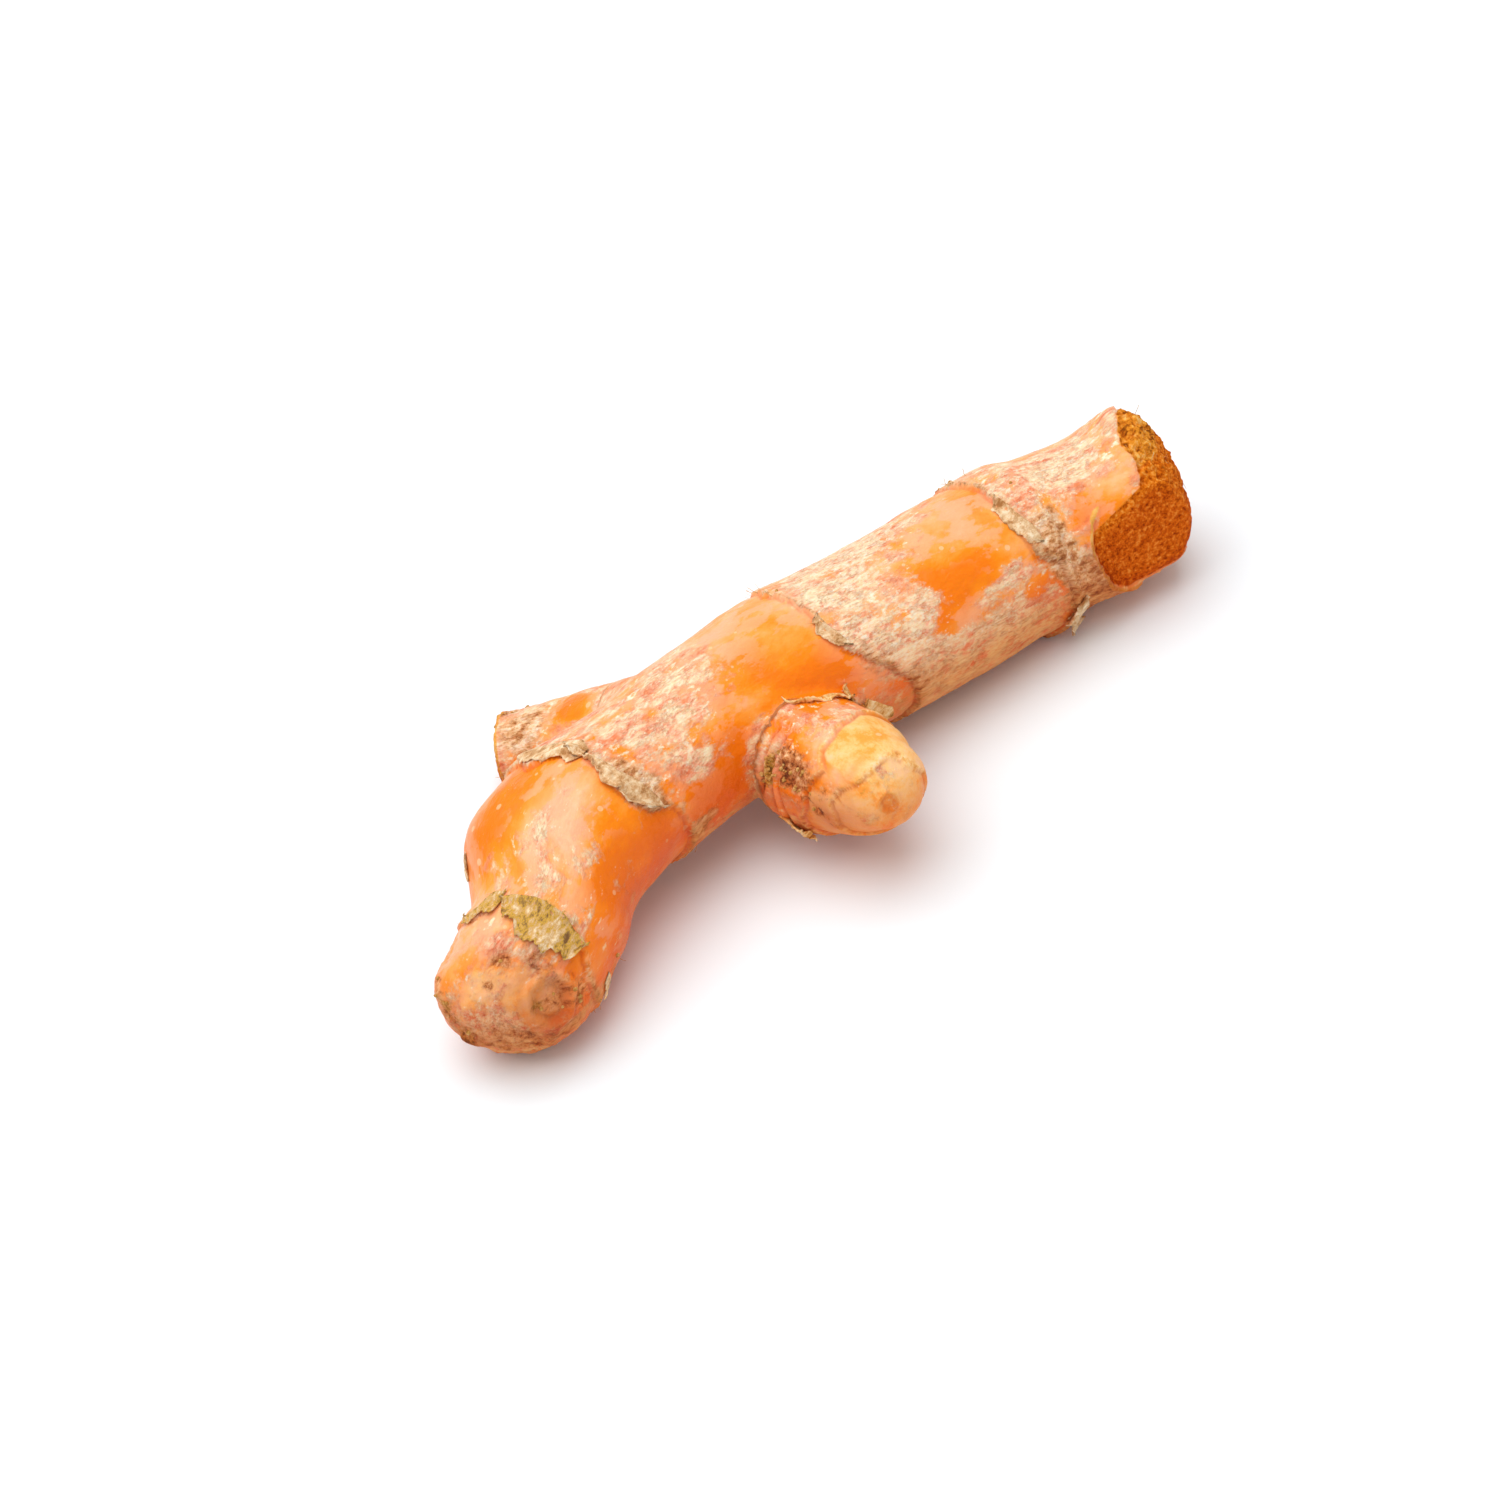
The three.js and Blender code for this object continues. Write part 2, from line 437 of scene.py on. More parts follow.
# How much paper is left just past each edge, and how much just before the next, from the base to the tip.
FILL_START = [0.66, 0.38, 0.16, 0.06, 0.30]
FILL_END = [0.66, 0.74, 0.62, 0.42, 0.30]
COLLAR_COVER = 0.5
BUD_COVER = 0.45
YOUNG_COVER = 0.05
YOUNG_TIP_COVER = 0.25
BRANCH_COVER = 0.62
MOST_COVER = 0.86

cover = np.zeros(len(skin))
far = np.full(len(skin), 99.0)
gaps = [far] + [beyond[name] for name in FINGER_SCALES] + [-far]
for behind, next_gap, start, end in zip(gaps, gaps[1:], FILL_START, FILL_END):
    ahead = -next_gap
    inside = ease(behind, -0.05, 0.05) * ease(ahead, -0.05, 0.05)
    share = np.clip(behind / (behind + ahead + 1e-6), 0, 1)
    cover += inside * (start + (end - start) * share)
young = on_bud * ease(beyond["bud's first"], -0.1, 0.1)
young_tip = on_bud * ease(beyond["bud's second"], -0.1, 0.1)
cover += COLLAR_COVER * by_bud * (1 - on_bud) * np.exp(np.minimum(beyond["collar"], 0) / 1.4)
cover = cover * on_finger + BUD_COVER * (on_bud - young) + YOUNG_COVER * young
cover += YOUNG_TIP_COVER * young_tip + BRANCH_COVER * on_branch

# %% Patches placed by hand
PATCHES = {
    # kind: {limb: [(mm along, degrees round, half length, half width in mm, amount), ...]}
    "cover": {
        "finger": [
            (6.5, -38, 2.5, 3.0, -0.45), (11.5, -44, 3.5, 2.5, -0.5), (12.0, 45, 6.0, 3.0, -0.4),
            (11.0, -12, 5.0, 3.5, 0.25), (29.5, -40, 6.5, 3.0, -0.7), (26.0, -8, 5.5, 5.0, -0.5),
            (35.0, -34, 4.0, 2.5, -0.1), (39.0, -22, 5.0, 4.5, 0.2), (34.0, 30, 9.0, 4.0, 0.45),
            (31.0, -115, 10.0, 5.0, 0.7), (35.0, -84, 6.0, 2.5, 0.5), (40.0, -72, 3.0, 2.5, 0.35),
            (32.0, -70, 3.5, 1.5, -0.5), (34.4, -47, 3.0, 1.7, 0.55), (25.2, -57, 3.0, 1.8, 0.4),
            (37.0, -92, 3.5, 1.5, -0.35), (52.0, -45, 6.5, 7.0, -0.35), (80.5, -16, 6.0, 4.0, 0.26),
            (92.5, -12, 2.0, 3.0, 0.16), (99.4, -74, 1.8, 5.5, 0.5), (93.0, -30, 1.6, 4.0, 0.25),
            (51.5, -6, 3.5, 4.5, -0.25), (59.5, 12, 5.0, 6.0, 0.3), (60.0, -24, 4.0, 3.0, 0.12),
            (50.0, 28, 5.0, 5.0, -0.25), (67.0, -24, 4.0, 3.0, 0.12), (65.0, -82, 4.5, 3.0, -0.6),
            (64.5, -62, 1.8, 1.6, 0.6), (67.0, -98, 1.6, 1.2, 0.6), (50.0, 150, 9.0, 9.0, 0.3),
            (80.0, 150, 5.0, 8.0, 0.35), (97.0, -150, 4.0, 6.0, 0.5),
        ],
        "branch": [(8.4, -14, 2.3, 1.5, -1.2)],
    },
    "weathered": {
        "finger": [
            (17.5, -62, 3.2, 5.5, 1.0), (14.0, -110, 4.0, 6.0, 0.9), (38.0, -98, 6.0, 4.5, 0.5),
            (42.4, -64, 2.4, 2.6, 0.5), (34.2, -48, 2.8, 1.1, 0.6), (71.5, -48, 2.5, 3.6, 1.0),
            (66.0, -104, 3.0, 2.0, 0.5), (70.0, 165, 9.0, 7.0, 0.6), (30.0, 165, 12.0, 7.0, 0.7),
            (96.0, -100, 4.0, 3.0, 0.6), (99.2, -70, 1.6, 4.5, 0.42),
        ],
        "branch": [(15.8, -24, 4.0, 3.6, 0.95)],
    },
    "vivid": {
        "finger": [
            (12.5, -48, 3.0, 2.2, 0.6), (30.5, -43, 5.5, 2.4, 1.25), (20.5, -82, 2.5, 2.0, 0.8),
            (41.0, -44, 1.2, 0.8, 0.9), (50.0, -58, 5.0, 5.5, 1.2), (52.0, -30, 3.0, 4.0, 0.5),
            (55.5, 12, 4.0, 5.0, -0.7), (83.5, -58, 3.0, 3.0, 0.7), (64.0, -92, 6.0, 4.0, 0.7),
            (60.0, -68, 2.5, 3.0, 0.8), (79.5, -74, 5.5, 4.8, 1.3), (74.0, -92, 4.0, 3.5, 0.8),
            (79.5, 28, 6.5, 2.8, 1.1), (27.0, 10, 5.0, 6.0, -0.4), (80.5, -22, 5.5, 4.0, -0.9),
            (47.5, 5, 2.0, 4.0, -0.3), (93.0, 20, 3.0, 4.0, -0.4),
        ],
        "branch": [(8.4, -14, 2.4, 1.6, 1.6)],
        "bud": [(15.5, 70, 2.0, 3.0, 0.9), (8.5, 0, 2.5, 3.0, 0.5)],
    },
    "scar": {
        "finger": [
            (94.8, -16, 0.9, 1.5, 0.85), (97.2, -17, 0.7, 0.8, 0.7), (95.0, -69, 1.3, 1.3, 0.62),
            (98.2, 40, 1.5, 1.2, 0.6), (92.5, -34, 1.0, 2.4, 0.5), (97.5, -100, 1.6, 2.4, 0.6),
            (93.0, -88, 2.0, 1.6, 0.6), (93.8, -42, 1.0, 2.2, 0.40), (92.6, -68, 1.4, 2.4, 0.45),
            (99.0, -66, 1.0, 3.0, 0.34), (9.0, -18, 0.5, 0.4, 0.5), (12.4, -27, 0.5, 0.4, 0.5),
            (13.8, -18, 0.4, 0.4, 0.5),
        ],
        "branch": [(18.5, 40, 1.8, 2.6, 0.8), (20.2, -30, 1.0, 4.0, 0.8)],
        "bud": [
            (11.6, 46, 2.6, 2.0, 0.85), (14.4, 64, 2.6, 2.2, 0.8), (19.4, 72, 1.3, 1.3, 0.62),
            (16.4, 92, 1.6, 1.0, 0.6), (17.8, 112, 1.3, 0.8, 0.5), (8.2, 82, 0.7, 2.0, 0.8),
        ],
    },
    "stains_and_flake_shadow": {
        "finger": [
            (94.5, -52, 2.0, 3.4, 0.65), (96.0, -90, 2.0, 2.2, 0.5), (93.8, -14, 1.3, 2.2, 0.5),
            # (91.6, -40) is painted shadow, cast by the olive flake above it, not a stain.
            (97.2, -66, 1.3, 1.6, 0.5), (91.6, -40, 0.8, 3.0, 0.6), (98.8, 44, 2.0, 1.6, 0.5),
            (100.0, -40, 1.2, 4.0, 0.35), (97.0, -28, 3.6, 4.2, 0.42), (95.5, -52, 4.0, 6.0, 0.30),
            (13.0, -100, 3.0, 4.0, 0.3),
        ],
        "bud": [
            (13.4, 60, 3.8, 3.2, 0.7), (17.6, 104, 2.6, 1.6, 0.5), (17.4, 90, 1.6, 1.8, 0.5),
            (21.2, 60, 1.5, 2.4, 0.35),
        ],
    },
    "olive": {
        "finger": [
            (88.2, -26, 1.0, 2.0, 0.6), (96.2, -64, 1.2, 1.2, 0.6), (99.2, 36, 1.0, 1.3, 0.55),
            (97.0, 56, 2.0, 1.2, 0.5), (100.5, -50, 1.0, 3.6, 0.45),
        ],
        "bud": [(9.0, 62, 1.2, 2.4, 0.8), (12.8, 62, 1.8, 1.4, 0.62), (22.8, 56, 1.2, 1.8, 0.5)],
    },
}
WANDER = 0.35 * ripple(skin, 3.0, 2, 2)


def patch(limb, along, degrees, half_length, half_width, amount):
    """A soft spot on one limb. Its outline wanders a little, as no natural patch is an ellipse."""
    line_points = straight[limb]
    radius = np.hypot(line_points[:, 1], line_points[:, 2])
    turn = np.radians((around[limb] - degrees + 180) % 360 - 180)
    away = ((line_points[:, 0] - along) / half_length) ** 2 + (turn * radius / half_width) ** 2
    return amount * np.exp(-away * (1 + WANDER)) * shares[limb]


masks = {
    kind: sum(patch(limb, *row) for limb, rows in limbs.items() for row in rows)
    for kind, limbs in PATCHES.items()
}
cover = np.clip(cover + masks["cover"], 0, MOST_COVER)
print({kind: sum(len(rows) for rows in limbs.values()) for kind, limbs in PATCHES.items()}, "patches")

# %% [markdown]
# ## Broken faces
# Turmeric snaps like a carrot. The base was broken from its mother rhizome in two steps: a smooth oval
# facet, granular and deep orange, and above it a ragged, fibrous end. The branch has one such facet. The
# skin stands a little proud round each, as a thin rim. Each facet is a plane in the model, so a point on
# it is found by its distance from that plane.

# %% The facets and the ragged end
# half: how far each facet reaches to its left, its right, its top and its bottom, in mm
BASE_FACET = {"at": (38.5, -13.6, 10.6), "facing": (-0.23, -0.97, 0.01), "half": (5.4, 8.5, 5.2, 6.9)}
BRANCH_FACET = {"at": (-20.1, 21.7, 3.2), "facing": (-0.65, 0.75, -0.11), "half": (9, 9, 9, 9)}


def facet_coordinates(points, facet):
    """Mm under the facet's plane, nearness to its rim (0 middle, 1 rim) and the level part of that."""
    facing = np.array(facet["facing"]) / np.linalg.norm(facet["facing"])
    up = np.array([0, 0, 1]) - facing[2] * facing
    up /= np.linalg.norm(up)
    off = points - np.array(facet["at"])
    level = off @ np.cross(up, facing)
    upward = off @ up
    left, right, top, bottom = facet["half"]
    level = np.where(level < 0, level / left, level / right)
    upward = np.where(upward > 0, upward / top, upward / bottom)
    return -off @ facing, np.hypot(level, upward), level


base_depth, base_rim, base_level = facet_coordinates(skin, BASE_FACET)
branch_depth, branch_rim, _ = facet_coordinates(skin, BRANCH_FACET)
base_rim += 0.05 * ripple(skin, 2.5, 30, 3)
on_facet = (1 - ease(base_depth, 0.30, 0.70)) * (1 - ease(base_rim, 0.97, 1.03))
on_branch_end = (1 - ease(branch_depth, 0.20, 0.50)) * (branch_rim < 1)
# The ragged end stops here: (degrees round, mm along)
END_LINE = [
    (-180, 2.5), (-140, 3.6), (-100, 4.6), (-60, 5.2), (-46, 5.0), (-38, 4.4), (-20, 4.3), (-10, 4.2),
    (14, 3.4), (60, 2.0),
]
end_angle, end_place = np.array(END_LINE, float).T
end_gap = straight["finger"][:, 0] - np.interp(around["finger"], end_angle, end_place, period=360)
end_gap += 0.45 * ripple(skin, 2.0, 31, 4)
on_ragged = (1 - ease(end_gap, -0.2, 0.2)) * (1 - on_facet)
broken = np.clip(on_facet + on_ragged + on_branch_end, 0, 1)
base_lip = bell(base_rim - 1.03, 0.05) * (base_depth < 1.6) * (base_level < -0.1)
branch_lip = ease(branch_depth, 0.25, 0.5) * (1 - ease(branch_depth, 0.6, 1.1))
branch_lip *= (branch_depth < 5) * (branch_rim < 1)
rim = np.clip(base_lip + branch_lip, 0, 1) * (1 - broken)
print("broken points:", int((broken > 0.5).sum()))

# %% [markdown]
# ## Buds, rings and scars
# The tip carries a dormant bud, a low dome inside a groove and a ring. The side bud has such an eye on
# its end, and fine folds at its foot. The finger isn't quite round either, so a few broad lumps and dents
# are laid on. All of these are small changes of height, so they are added up to one height for every
# point, which then moves the point along its own normal.

# %% Lumps, paper and creases
ROUND = (1, 1, 1)
RELIEF = {
    # what it is: (height in mm, size of its bumps in mm, seed, octaves, stretch)
    "broad dents": (0.25, 11.0, 1, 2, ROUND),
    "unevenness": (0.06, 2.6, 5, 3, ROUND),
    "paper fibres": (0.05, 1.0, 6, 3, (3, 1, 1)),
    "paper cockles": (0.06, 2.4, 16, 3, ROUND),
    "sharp crumples": (0.18, 0.8, 7, 3, (1, 2.8, 2.8)),
    "lumps of the tip": (0.28, 2.4, 21, 3, ROUND),
    "pits of a scar": (0.32, 1.2, 8, 4, ROUND),
    "grains of the facet": (0.10, 0.55, 10, 2, ROUND),
    "waves of the facet": (0.10, 2.4, 11, 2, ROUND),
    "torn strands": (0.42, 0.9, 12, 4, (1, 1, 3)),
    "torn steps": (0.15, 3.0, 13, 1, ROUND),
    "grains of the branch's end": (0.25, 1.0, 14, 3, ROUND),
}
LUMPS = [
    # limb, mm along, degrees round, half length, half width in mm, height in mm
    ("finger", 98.8, 44, 2.8, 3.4, 0.9),
    ("finger", 87.0, 62, 2.6, 4.0, -0.7),
    ("finger", 81.0, 56, 4.0, 4.0, 0.9),
    ("finger", 94.0, -104, 3.0, 3.0, 0.7),
    ("finger", 86.0, -100, 3.0, 4.0, 0.3),
]


def relief(name, points=skin):
    """One row of the table as a height in mm for every point."""
    high, size, seed, octaves, stretch = RELIEF[name]
    return high * ripple(points, size, seed, octaves, stretch)


height = relief("broad dents") + relief("unevenness")
height += sum(patch(*row) for row in LUMPS)
height += scale_height
dry = np.clip(cover, 0, 1) * (1 - broken)
height += dry * (relief("paper fibres", grain) + relief("paper cockles", grain))
crumpled = np.clip(masks["weathered"] + 0.8 * margin, 0, 1) * (1 - broken)
height += crumpled * (0.06 - np.abs(relief("sharp crumples", grain)))
print("points under dry paper:", int((dry > 0.5).sum()))

# %% Eyes, folds and scars
TIP_EYE = (-42.1, -14.4, 8.9)
TIP_EYE_RINGS = [(2.4, 0.45, 0.50), (1.6, 0.40, -0.32), (0.0, 1.0, 0.30)]  # radius, width, height in mm
BUD_EYE = (-5.8, -24.3, 12.7)
BUD_EYE_RINGS = [(1.0, 0.25, 0.26), (0.0, 0.6, -0.20)]
BUD_FOLDS = [(7.9, 0.40), (9.5, 0.35), (10.9, 0.30)]  # mm along the bud, depth in mm

eye = np.linalg.norm(skin - np.array(TIP_EYE), axis=1) + 0.35 * ripple(skin, 2.0, 20, 2)
small_eye = np.linalg.norm(skin - np.array(BUD_EYE), axis=1)
for distance, eye_rings in ((eye, TIP_EYE_RINGS), (small_eye, BUD_EYE_RINGS)):
    height += sum(rise * bell(distance - radius, width) for radius, width, rise in eye_rings)
lumpy_tip = ease(straight["finger"][:, 0], 90.0, 94.0) * on_finger
height += lumpy_tip * relief("lumps of the tip")
rough_scar = np.clip(masks["scar"] + 0.7 * masks["olive"], 0, 1)
height += rough_scar * (relief("pits of a scar") - 0.08)

fold_window = on_bud * ease(around["bud"], 20, 45) * (1 - ease(around["bud"], 125, 150))
fold_shade = np.zeros(len(skin))
for place, deep in BUD_FOLDS:
    gap = straight["bud"][:, 0] + 0.5 * ripple(skin, 2.5, 9, 2) - place
    height += fold_window * deep * (0.6 * bell(gap - 0.55, 0.35) - bell(gap, 0.22))
    fold_shade = np.maximum(fold_shade, fold_window * bell(gap, 0.32))
print("rings and folds:", len(TIP_EYE_RINGS) + len(BUD_EYE_RINGS) + len(BUD_FOLDS))

# %% Grain of the breaks
facet_grain = relief("grains of the facet") + relief("waves of the facet")
ragged_grain = relief("torn strands") + relief("torn steps") - 0.3
crest = 1.4 * bell(straight["finger"][:, 0] - 2.8, 1.9) * bell(around["finger"] - 8, 24)
height = height * (1 - broken) + on_facet * facet_grain + on_ragged * ragged_grain + crest
height += on_branch_end * (relief("grains of the branch's end") - 0.1) + 0.22 * rim
lip = ease(base_rim, 0.99, 1.04) * (1 - ease(base_rim, 1.3, 1.7)) * (base_depth < 1.2) * (base_level < 0.2)
height += 0.25 * lip * (1 - on_ragged)


def point_normals(mesh, points):
    """The mesh's normals once its vertices are at these points, in mm."""
    mesh.vertices.foreach_set("co", (points * MM).astype(np.float32).ravel())
    mesh.update()
    return read(mesh, "vertex_normals", "vector", 3)


clear_of_table = ease(skin[:, 2], 0.05, 0.9)
height = np.where(height > 0, height * clear_of_table, height * (0.3 + 0.7 * clear_of_table))
normals = point_normals(body.data, skin)
dressed = skin + height[:, None] * normals
dressed[:, 2] = np.maximum(dressed[:, 2], 0.0)
body.data.vertices.foreach_set("co", (dressed * MM).astype(np.float32).ravel())
body.data.shade_smooth()
body.data.update()
print("relief in mm:", round(float(height.min()), 2), "to", round(float(height.max()), 2))

# %% [markdown]
# ## Handing the numbers to the finish
# A finish can only see what the mesh carries. Each mask becomes a named attribute on the points, and the
# pulled-straight coordinates go along as one vector, so that fibres in the finish follow every bend. Small
# hollows get painted shade, a darker and browner colour: a point that lies lower than the skin around it,
# once that skin is smoothed, is in one. The broad hollows between the limbs are taken off again, so that
# only the small ones are painted dark.

# %% Hollows, window and growth
sunk = ((relax(dressed, 6, edges) - dressed) * normals).sum(1)
sunk -= relax(sunk[:, None], 12, edges)[:, 0]
# Painted shade: the grooves round the two eyes, the bud's folds and the small hollows get a darker, browner
# colour.
rings = 0.5 * bell(small_eye - 0.8, 0.35) + 1.0 * bell(eye - 1.65, 0.38) + 0.6 * fold_shade
hollow_shade = 0.75 * ease(sunk, 0.015, 0.10)

orange_strip = 0.75 * np.exp(-np.maximum(beyond["bud's first"], 0) / 0.8)
orange_strip += patch("bud", 18.6, 56, 2.4, 1.8, 0.75) + patch("bud", 21.6, 20, 1.0, 3.0, 0.5)
clear_window = patch("finger", 97.0, -27, 3.2, 3.6, 1.0) + patch("finger", 95.5, -62, 4.0, 4.0, 0.7)

growth = np.zeros_like(skin)
for limb, share in shares.items():
    way = lines[limb]["along"]
    station = np.clip((straight[limb][:, 0] / LINE_STEP).astype(int), 0, len(way) - 1)
    growth += way[station] * share[:, None]
print("points in a hollow:", int((hollow_shade > 0.3).sum()))

# %% Attributes
off_table = ease(dressed[:, 2], 1.0, 1.8)
fibrous = np.clip(0.9 * edge_band + 0.5 * on_ragged + 0.2 * margin, 0, 1) * on_finger
crumbly = ease(rough_scar, 0.5, 0.9) * (1 - on_facet) * (1 - on_ragged) + 0.1 * margin
carried = {
    "grain": grain,
    "cover": cover * (1 - broken),
    "weathered": np.clip(masks["weathered"] + 0.75 * margin, 0, 1) * (1 - broken),
    "vivid": np.clip(masks["vivid"], -1, 1),
    "scar": np.clip(masks["scar"], 0, 1),
    "olive": np.clip(masks["olive"], 0, 1),
    "torn_edge": edge_band,
    "young_edge": young_edge,
    "young": young * (1 - np.clip(orange_strip, 0, 1)) * (1 - 0.2 * young_tip) + clear_window,
    "broken": broken,
    "ragged": np.clip(on_ragged * ease(base_rim, 1.12, 1.35) + on_branch_end, 0, 1),
    "rim": rim,
    # Painted shade in hollows and grooves, added to the real stains and one painted flake shadow.
    "hollow": np.clip(hollow_shade + masks["stains_and_flake_shadow"] + rings, 0, 1),
    "growth": growth,
    "root_fibres": fibrous * off_table,
    "skin_crumbs": crumbly * off_table,
    # Painted shade: points whose faces turn down get a darker, warmer tint, as if shaded.
    "underside": ease(-normals[:, 2], -0.78, 0.35),
}


def store(mesh, name, values):
    """One number, or one vector, for each point, under a name that a finish can ask for."""
    kind, slot = ("FLOAT_VECTOR", "vector") if values.ndim == 2 else ("FLOAT", "value")
    attribute = mesh.attributes.new(name, kind, "POINT")
    attribute.data.foreach_set(slot, values.astype(np.float32).ravel())


for name, values in carried.items():
    store(body.data, name, values)
print("attributes:", ", ".join(carried))

# %% [markdown]
# ## The skin's finish
# Fresh turmeric skin is a stack of thin layers: orange flesh under a pink film, cream paper over it, tan
# and grey weathered paper over that, then torn edges, scars and the broken face. Each layer is one row of
# a table: `mask` is the attribute that shows it and `edge` the soft step that cuts it out. `outline` says
# how the cut is frayed: by noise of how many mm, how far stretched along the root, and how strongly.
# `mottle` is the size and the stretch of its mottling, `colours` go from low to high noise, and `rough`
# is how matt it is.

# %% Table of layers
LAYERS = [
    # Young scale: opaque, pale amber and satin, over the bud and the clean parts of the tip.
    {
        "name": "young skin", "mask": "young", "rough": 0.42,
        "edge": (0.35, 0.65), "outline": (2.0, 1, 0.2), "mottle": (3.6, 1.5),
        "colours": [(0.40, "FFA440"), (0.46, "FFBC6A"), (0.52, "FFC882"), (0.595, "FFCA94")],
    },
    # Dry inner scale: pink to cream paper, matt, lying in streaks along the root.
    {
        "name": "cream paper", "mask": "cover", "rough": 0.62,
        "edge": (0.38, 0.76), "outline": (2.6, 1.4, 2.4), "mottle": (1.5, 1.8),
        "colours": [
            (0.39, "F8986A"), (0.435, "FEB08C"), (0.485, "FFC6A2"), (0.53, "FFDEB4"), (0.60, "FFEEC8"),
        ],
    },
    # Where that paper is thickest it lifts in small bright flecks.
    {
        "name": "cream flecks", "mask": "cover", "rough": 0.6,
        "edge": (0.64, 1.00), "outline": (0.75, 1.7, 3.2), "mottle": (0.3, 2.0),
        "colours": [(0.398, "FFD6A6"), (0.5, "FFE6C0"), (0.602, "FFF0D8")],
    },
    # Old scale: tan and grey, coarse, the driest of all.
    {
        "name": "weathered paper", "mask": "weathered", "rough": 0.75,
        "edge": (0.40, 0.75), "outline": (1.5, 1.6, 1.2), "mottle": (0.8, 2.6),
        "colours": [
            (0.39, "B0713A"), (0.45, "D69A64"), (0.505, "EDBF8E"), (0.56, "FADAB2"), (0.62, "FFEACC"),
        ],
    },
    # The torn edge of a scale: a brown and straw-coloured fringe.
    {
        "name": "torn edge", "mask": "torn_edge", "rough": 0.8,
        "edge": (0.15, 0.85), "outline": (0.7, 1, 0.35), "mottle": (0.35, 2.5),
        "colours": [(0.378, "A0683A"), (0.466, "CE9A66"), (0.568, "F0CDA0")],
    },
    # The edge of a young scale is amber and still moist.
    {
        "name": "young torn edge", "mask": "young_edge", "rough": 0.5,
        "edge": (0.25, 0.85), "outline": (1.2, 1, 0.5), "mottle": (0.9, 1.5),
        "colours": [(0.391, "D98A3C"), (0.466, "F7B45C"), (0.534, "FFD694"), (0.622, "FFE6BE")],
    },
    # Dried olive crust: nearly matt, in greenish ochre.
    {
        "name": "olive crust", "mask": "olive", "rough": 0.85,
        "edge": (0.35, 0.70), "outline": (0.9, 1.2, 1.3), "mottle": (0.5, 1.5),
        "colours": [(0.39, "74501E"), (0.45, "A87C2E"), (0.51, "CFA23C"), (0.58, "F0CE88")],
    },
    # Corky scar: dark brown in its pits and pale on its ridges.
    {
        "name": "scar", "mask": "scar", "rough": 0.8,
        "edge": (0.36, 0.80), "outline": (0.9, 1.2, 1.7), "mottle": (1.1, 1.2),
        "colours": [
            (0.39, "66341A"), (0.45, "A8622E"), (0.50, "D49054"), (0.56, "F2BE88"), (0.63, "FFE0B4"),
        ],
    },
    # The snapped face: deep orange grains as of a snapped carrot.
    {
        "name": "granular break", "mask": "broken", "rough": 0.8,
        "edge": (0.35, 0.65), "outline": (0.6, 1, 0.2), "mottle": (0.5, 1),
        "colours": [
            (0.36, "8E3A00"), (0.43, "C05A06"), (0.5, "E07410"), (0.56, "F08C24"), (0.63, "FFB458"),
        ],
    },
    # The torn end above it: lighter, with pulled fibres.
    {
        "name": "fibrous break", "mask": "ragged", "rough": 0.85,
        "edge": (0.30, 0.60), "outline": (0.8, 1, 0.5), "mottle": (0.8, 1.0),
        "colours": [
            (0.39, "7E420E"), (0.45, "C6701A"), (0.495, "E68C24"), (0.55, "F6A236"), (0.62, "FDC470"),
        ],
    },
    # The thin ochre rim of skin round a break.
    {
        "name": "skin lip", "mask": "rim", "rough": 0.6,
        "edge": (0.45, 0.8), "outline": (1.5, 1, 0.9), "mottle": (0.8, 1),
        "colours": [(0.398, "E39A45"), (0.5, "EFAE4A"), (0.602, "F3BE6E")],
    },
]

print(len(LAYERS), "layers:", ", ".join(row["name"] for row in LAYERS))

# %% The finish and its two patterns
# Fresh turmeric skin: satin orange flesh under patches of matt papery scale, and a warm glow in its shadows.
SKIN_GLOW = {
    "Subsurface Weight": 0.12,
    "Subsurface Radius": (1.0, 0.42, 0.16),
    "Subsurface Scale": 1.2 * MM,
}
skin_finish, tree, shader = new_finish("fresh turmeric rhizome skin", SKIN_GLOW)
grain_mm = add(tree, "ShaderNodeAttribute", {"attribute_name": "grain"}).outputs["Vector"]
MULTIPLY = {"operation": "MULTIPLY"}
MULTIPLY_ADD = {"operation": "MULTIPLY_ADD"}
OVER = {"data_type": "RGBA"}
TINT = {"data_type": "RGBA", "blend_type": "MULTIPLY"}


def grain_noise(tree, source, size, stretch, detail=4.0, roughness=0.6):
    """Noise of `size` mm on the pulled-straight root, stretched along it. Returns the 0 to 1 value."""
    squeeze = MULTIPLY | {1: (1 / stretch, 1, 1)}
    squeezed = add(tree, "ShaderNodeVectorMath", squeeze, {0: source}).outputs[0]
    settings = {"Scale": 1 / size, "Detail": detail, "Roughness": roughness, "Distortion": 0.15}
    return add(tree, "ShaderNodeTexNoise", settings, {"Vector": squeezed}).outputs["Fac"]


def coloured(ramp, stops):
    """Gives a ramp its (position, hex) stops. Returns its colour."""
    elements = ramp.color_ramp.elements
    for element, (position, hex_value) in zip((elements[0], elements[-1]), (stops[0], stops[-1])):
        element.position = position
        element.color = paint(hex_value)
    for position, hex_value in stops[1:-1]:
        elements.new(position).color = paint(hex_value)
    return ramp.outputs["Color"]


# %% [markdown]
# ## Flesh first
# The bare flesh goes from pale salmon to strong orange. Broad noise decides, and the `vivid` patches push
# it. A pink film, the living skin, lies over parts of it, and stays off where the orange is vivid.

# %% Flesh and pink film
FLESH = [(0.30, "FFC496"), (0.41, "FFAE66"), (0.50, "FF9C34"), (0.58, "FF8C04"), (0.72, "F67C00")]
FILM_PINK = "FFB288"
FILM_LIMITS = {"From Min": 0.48, "From Max": 0.55, "To Min": 0.0, "To Max": 0.60}
VIVID_PUSH = 0.22
VIVID_CLEARS = -0.6
FLESH_ROUGHNESS = 0.33

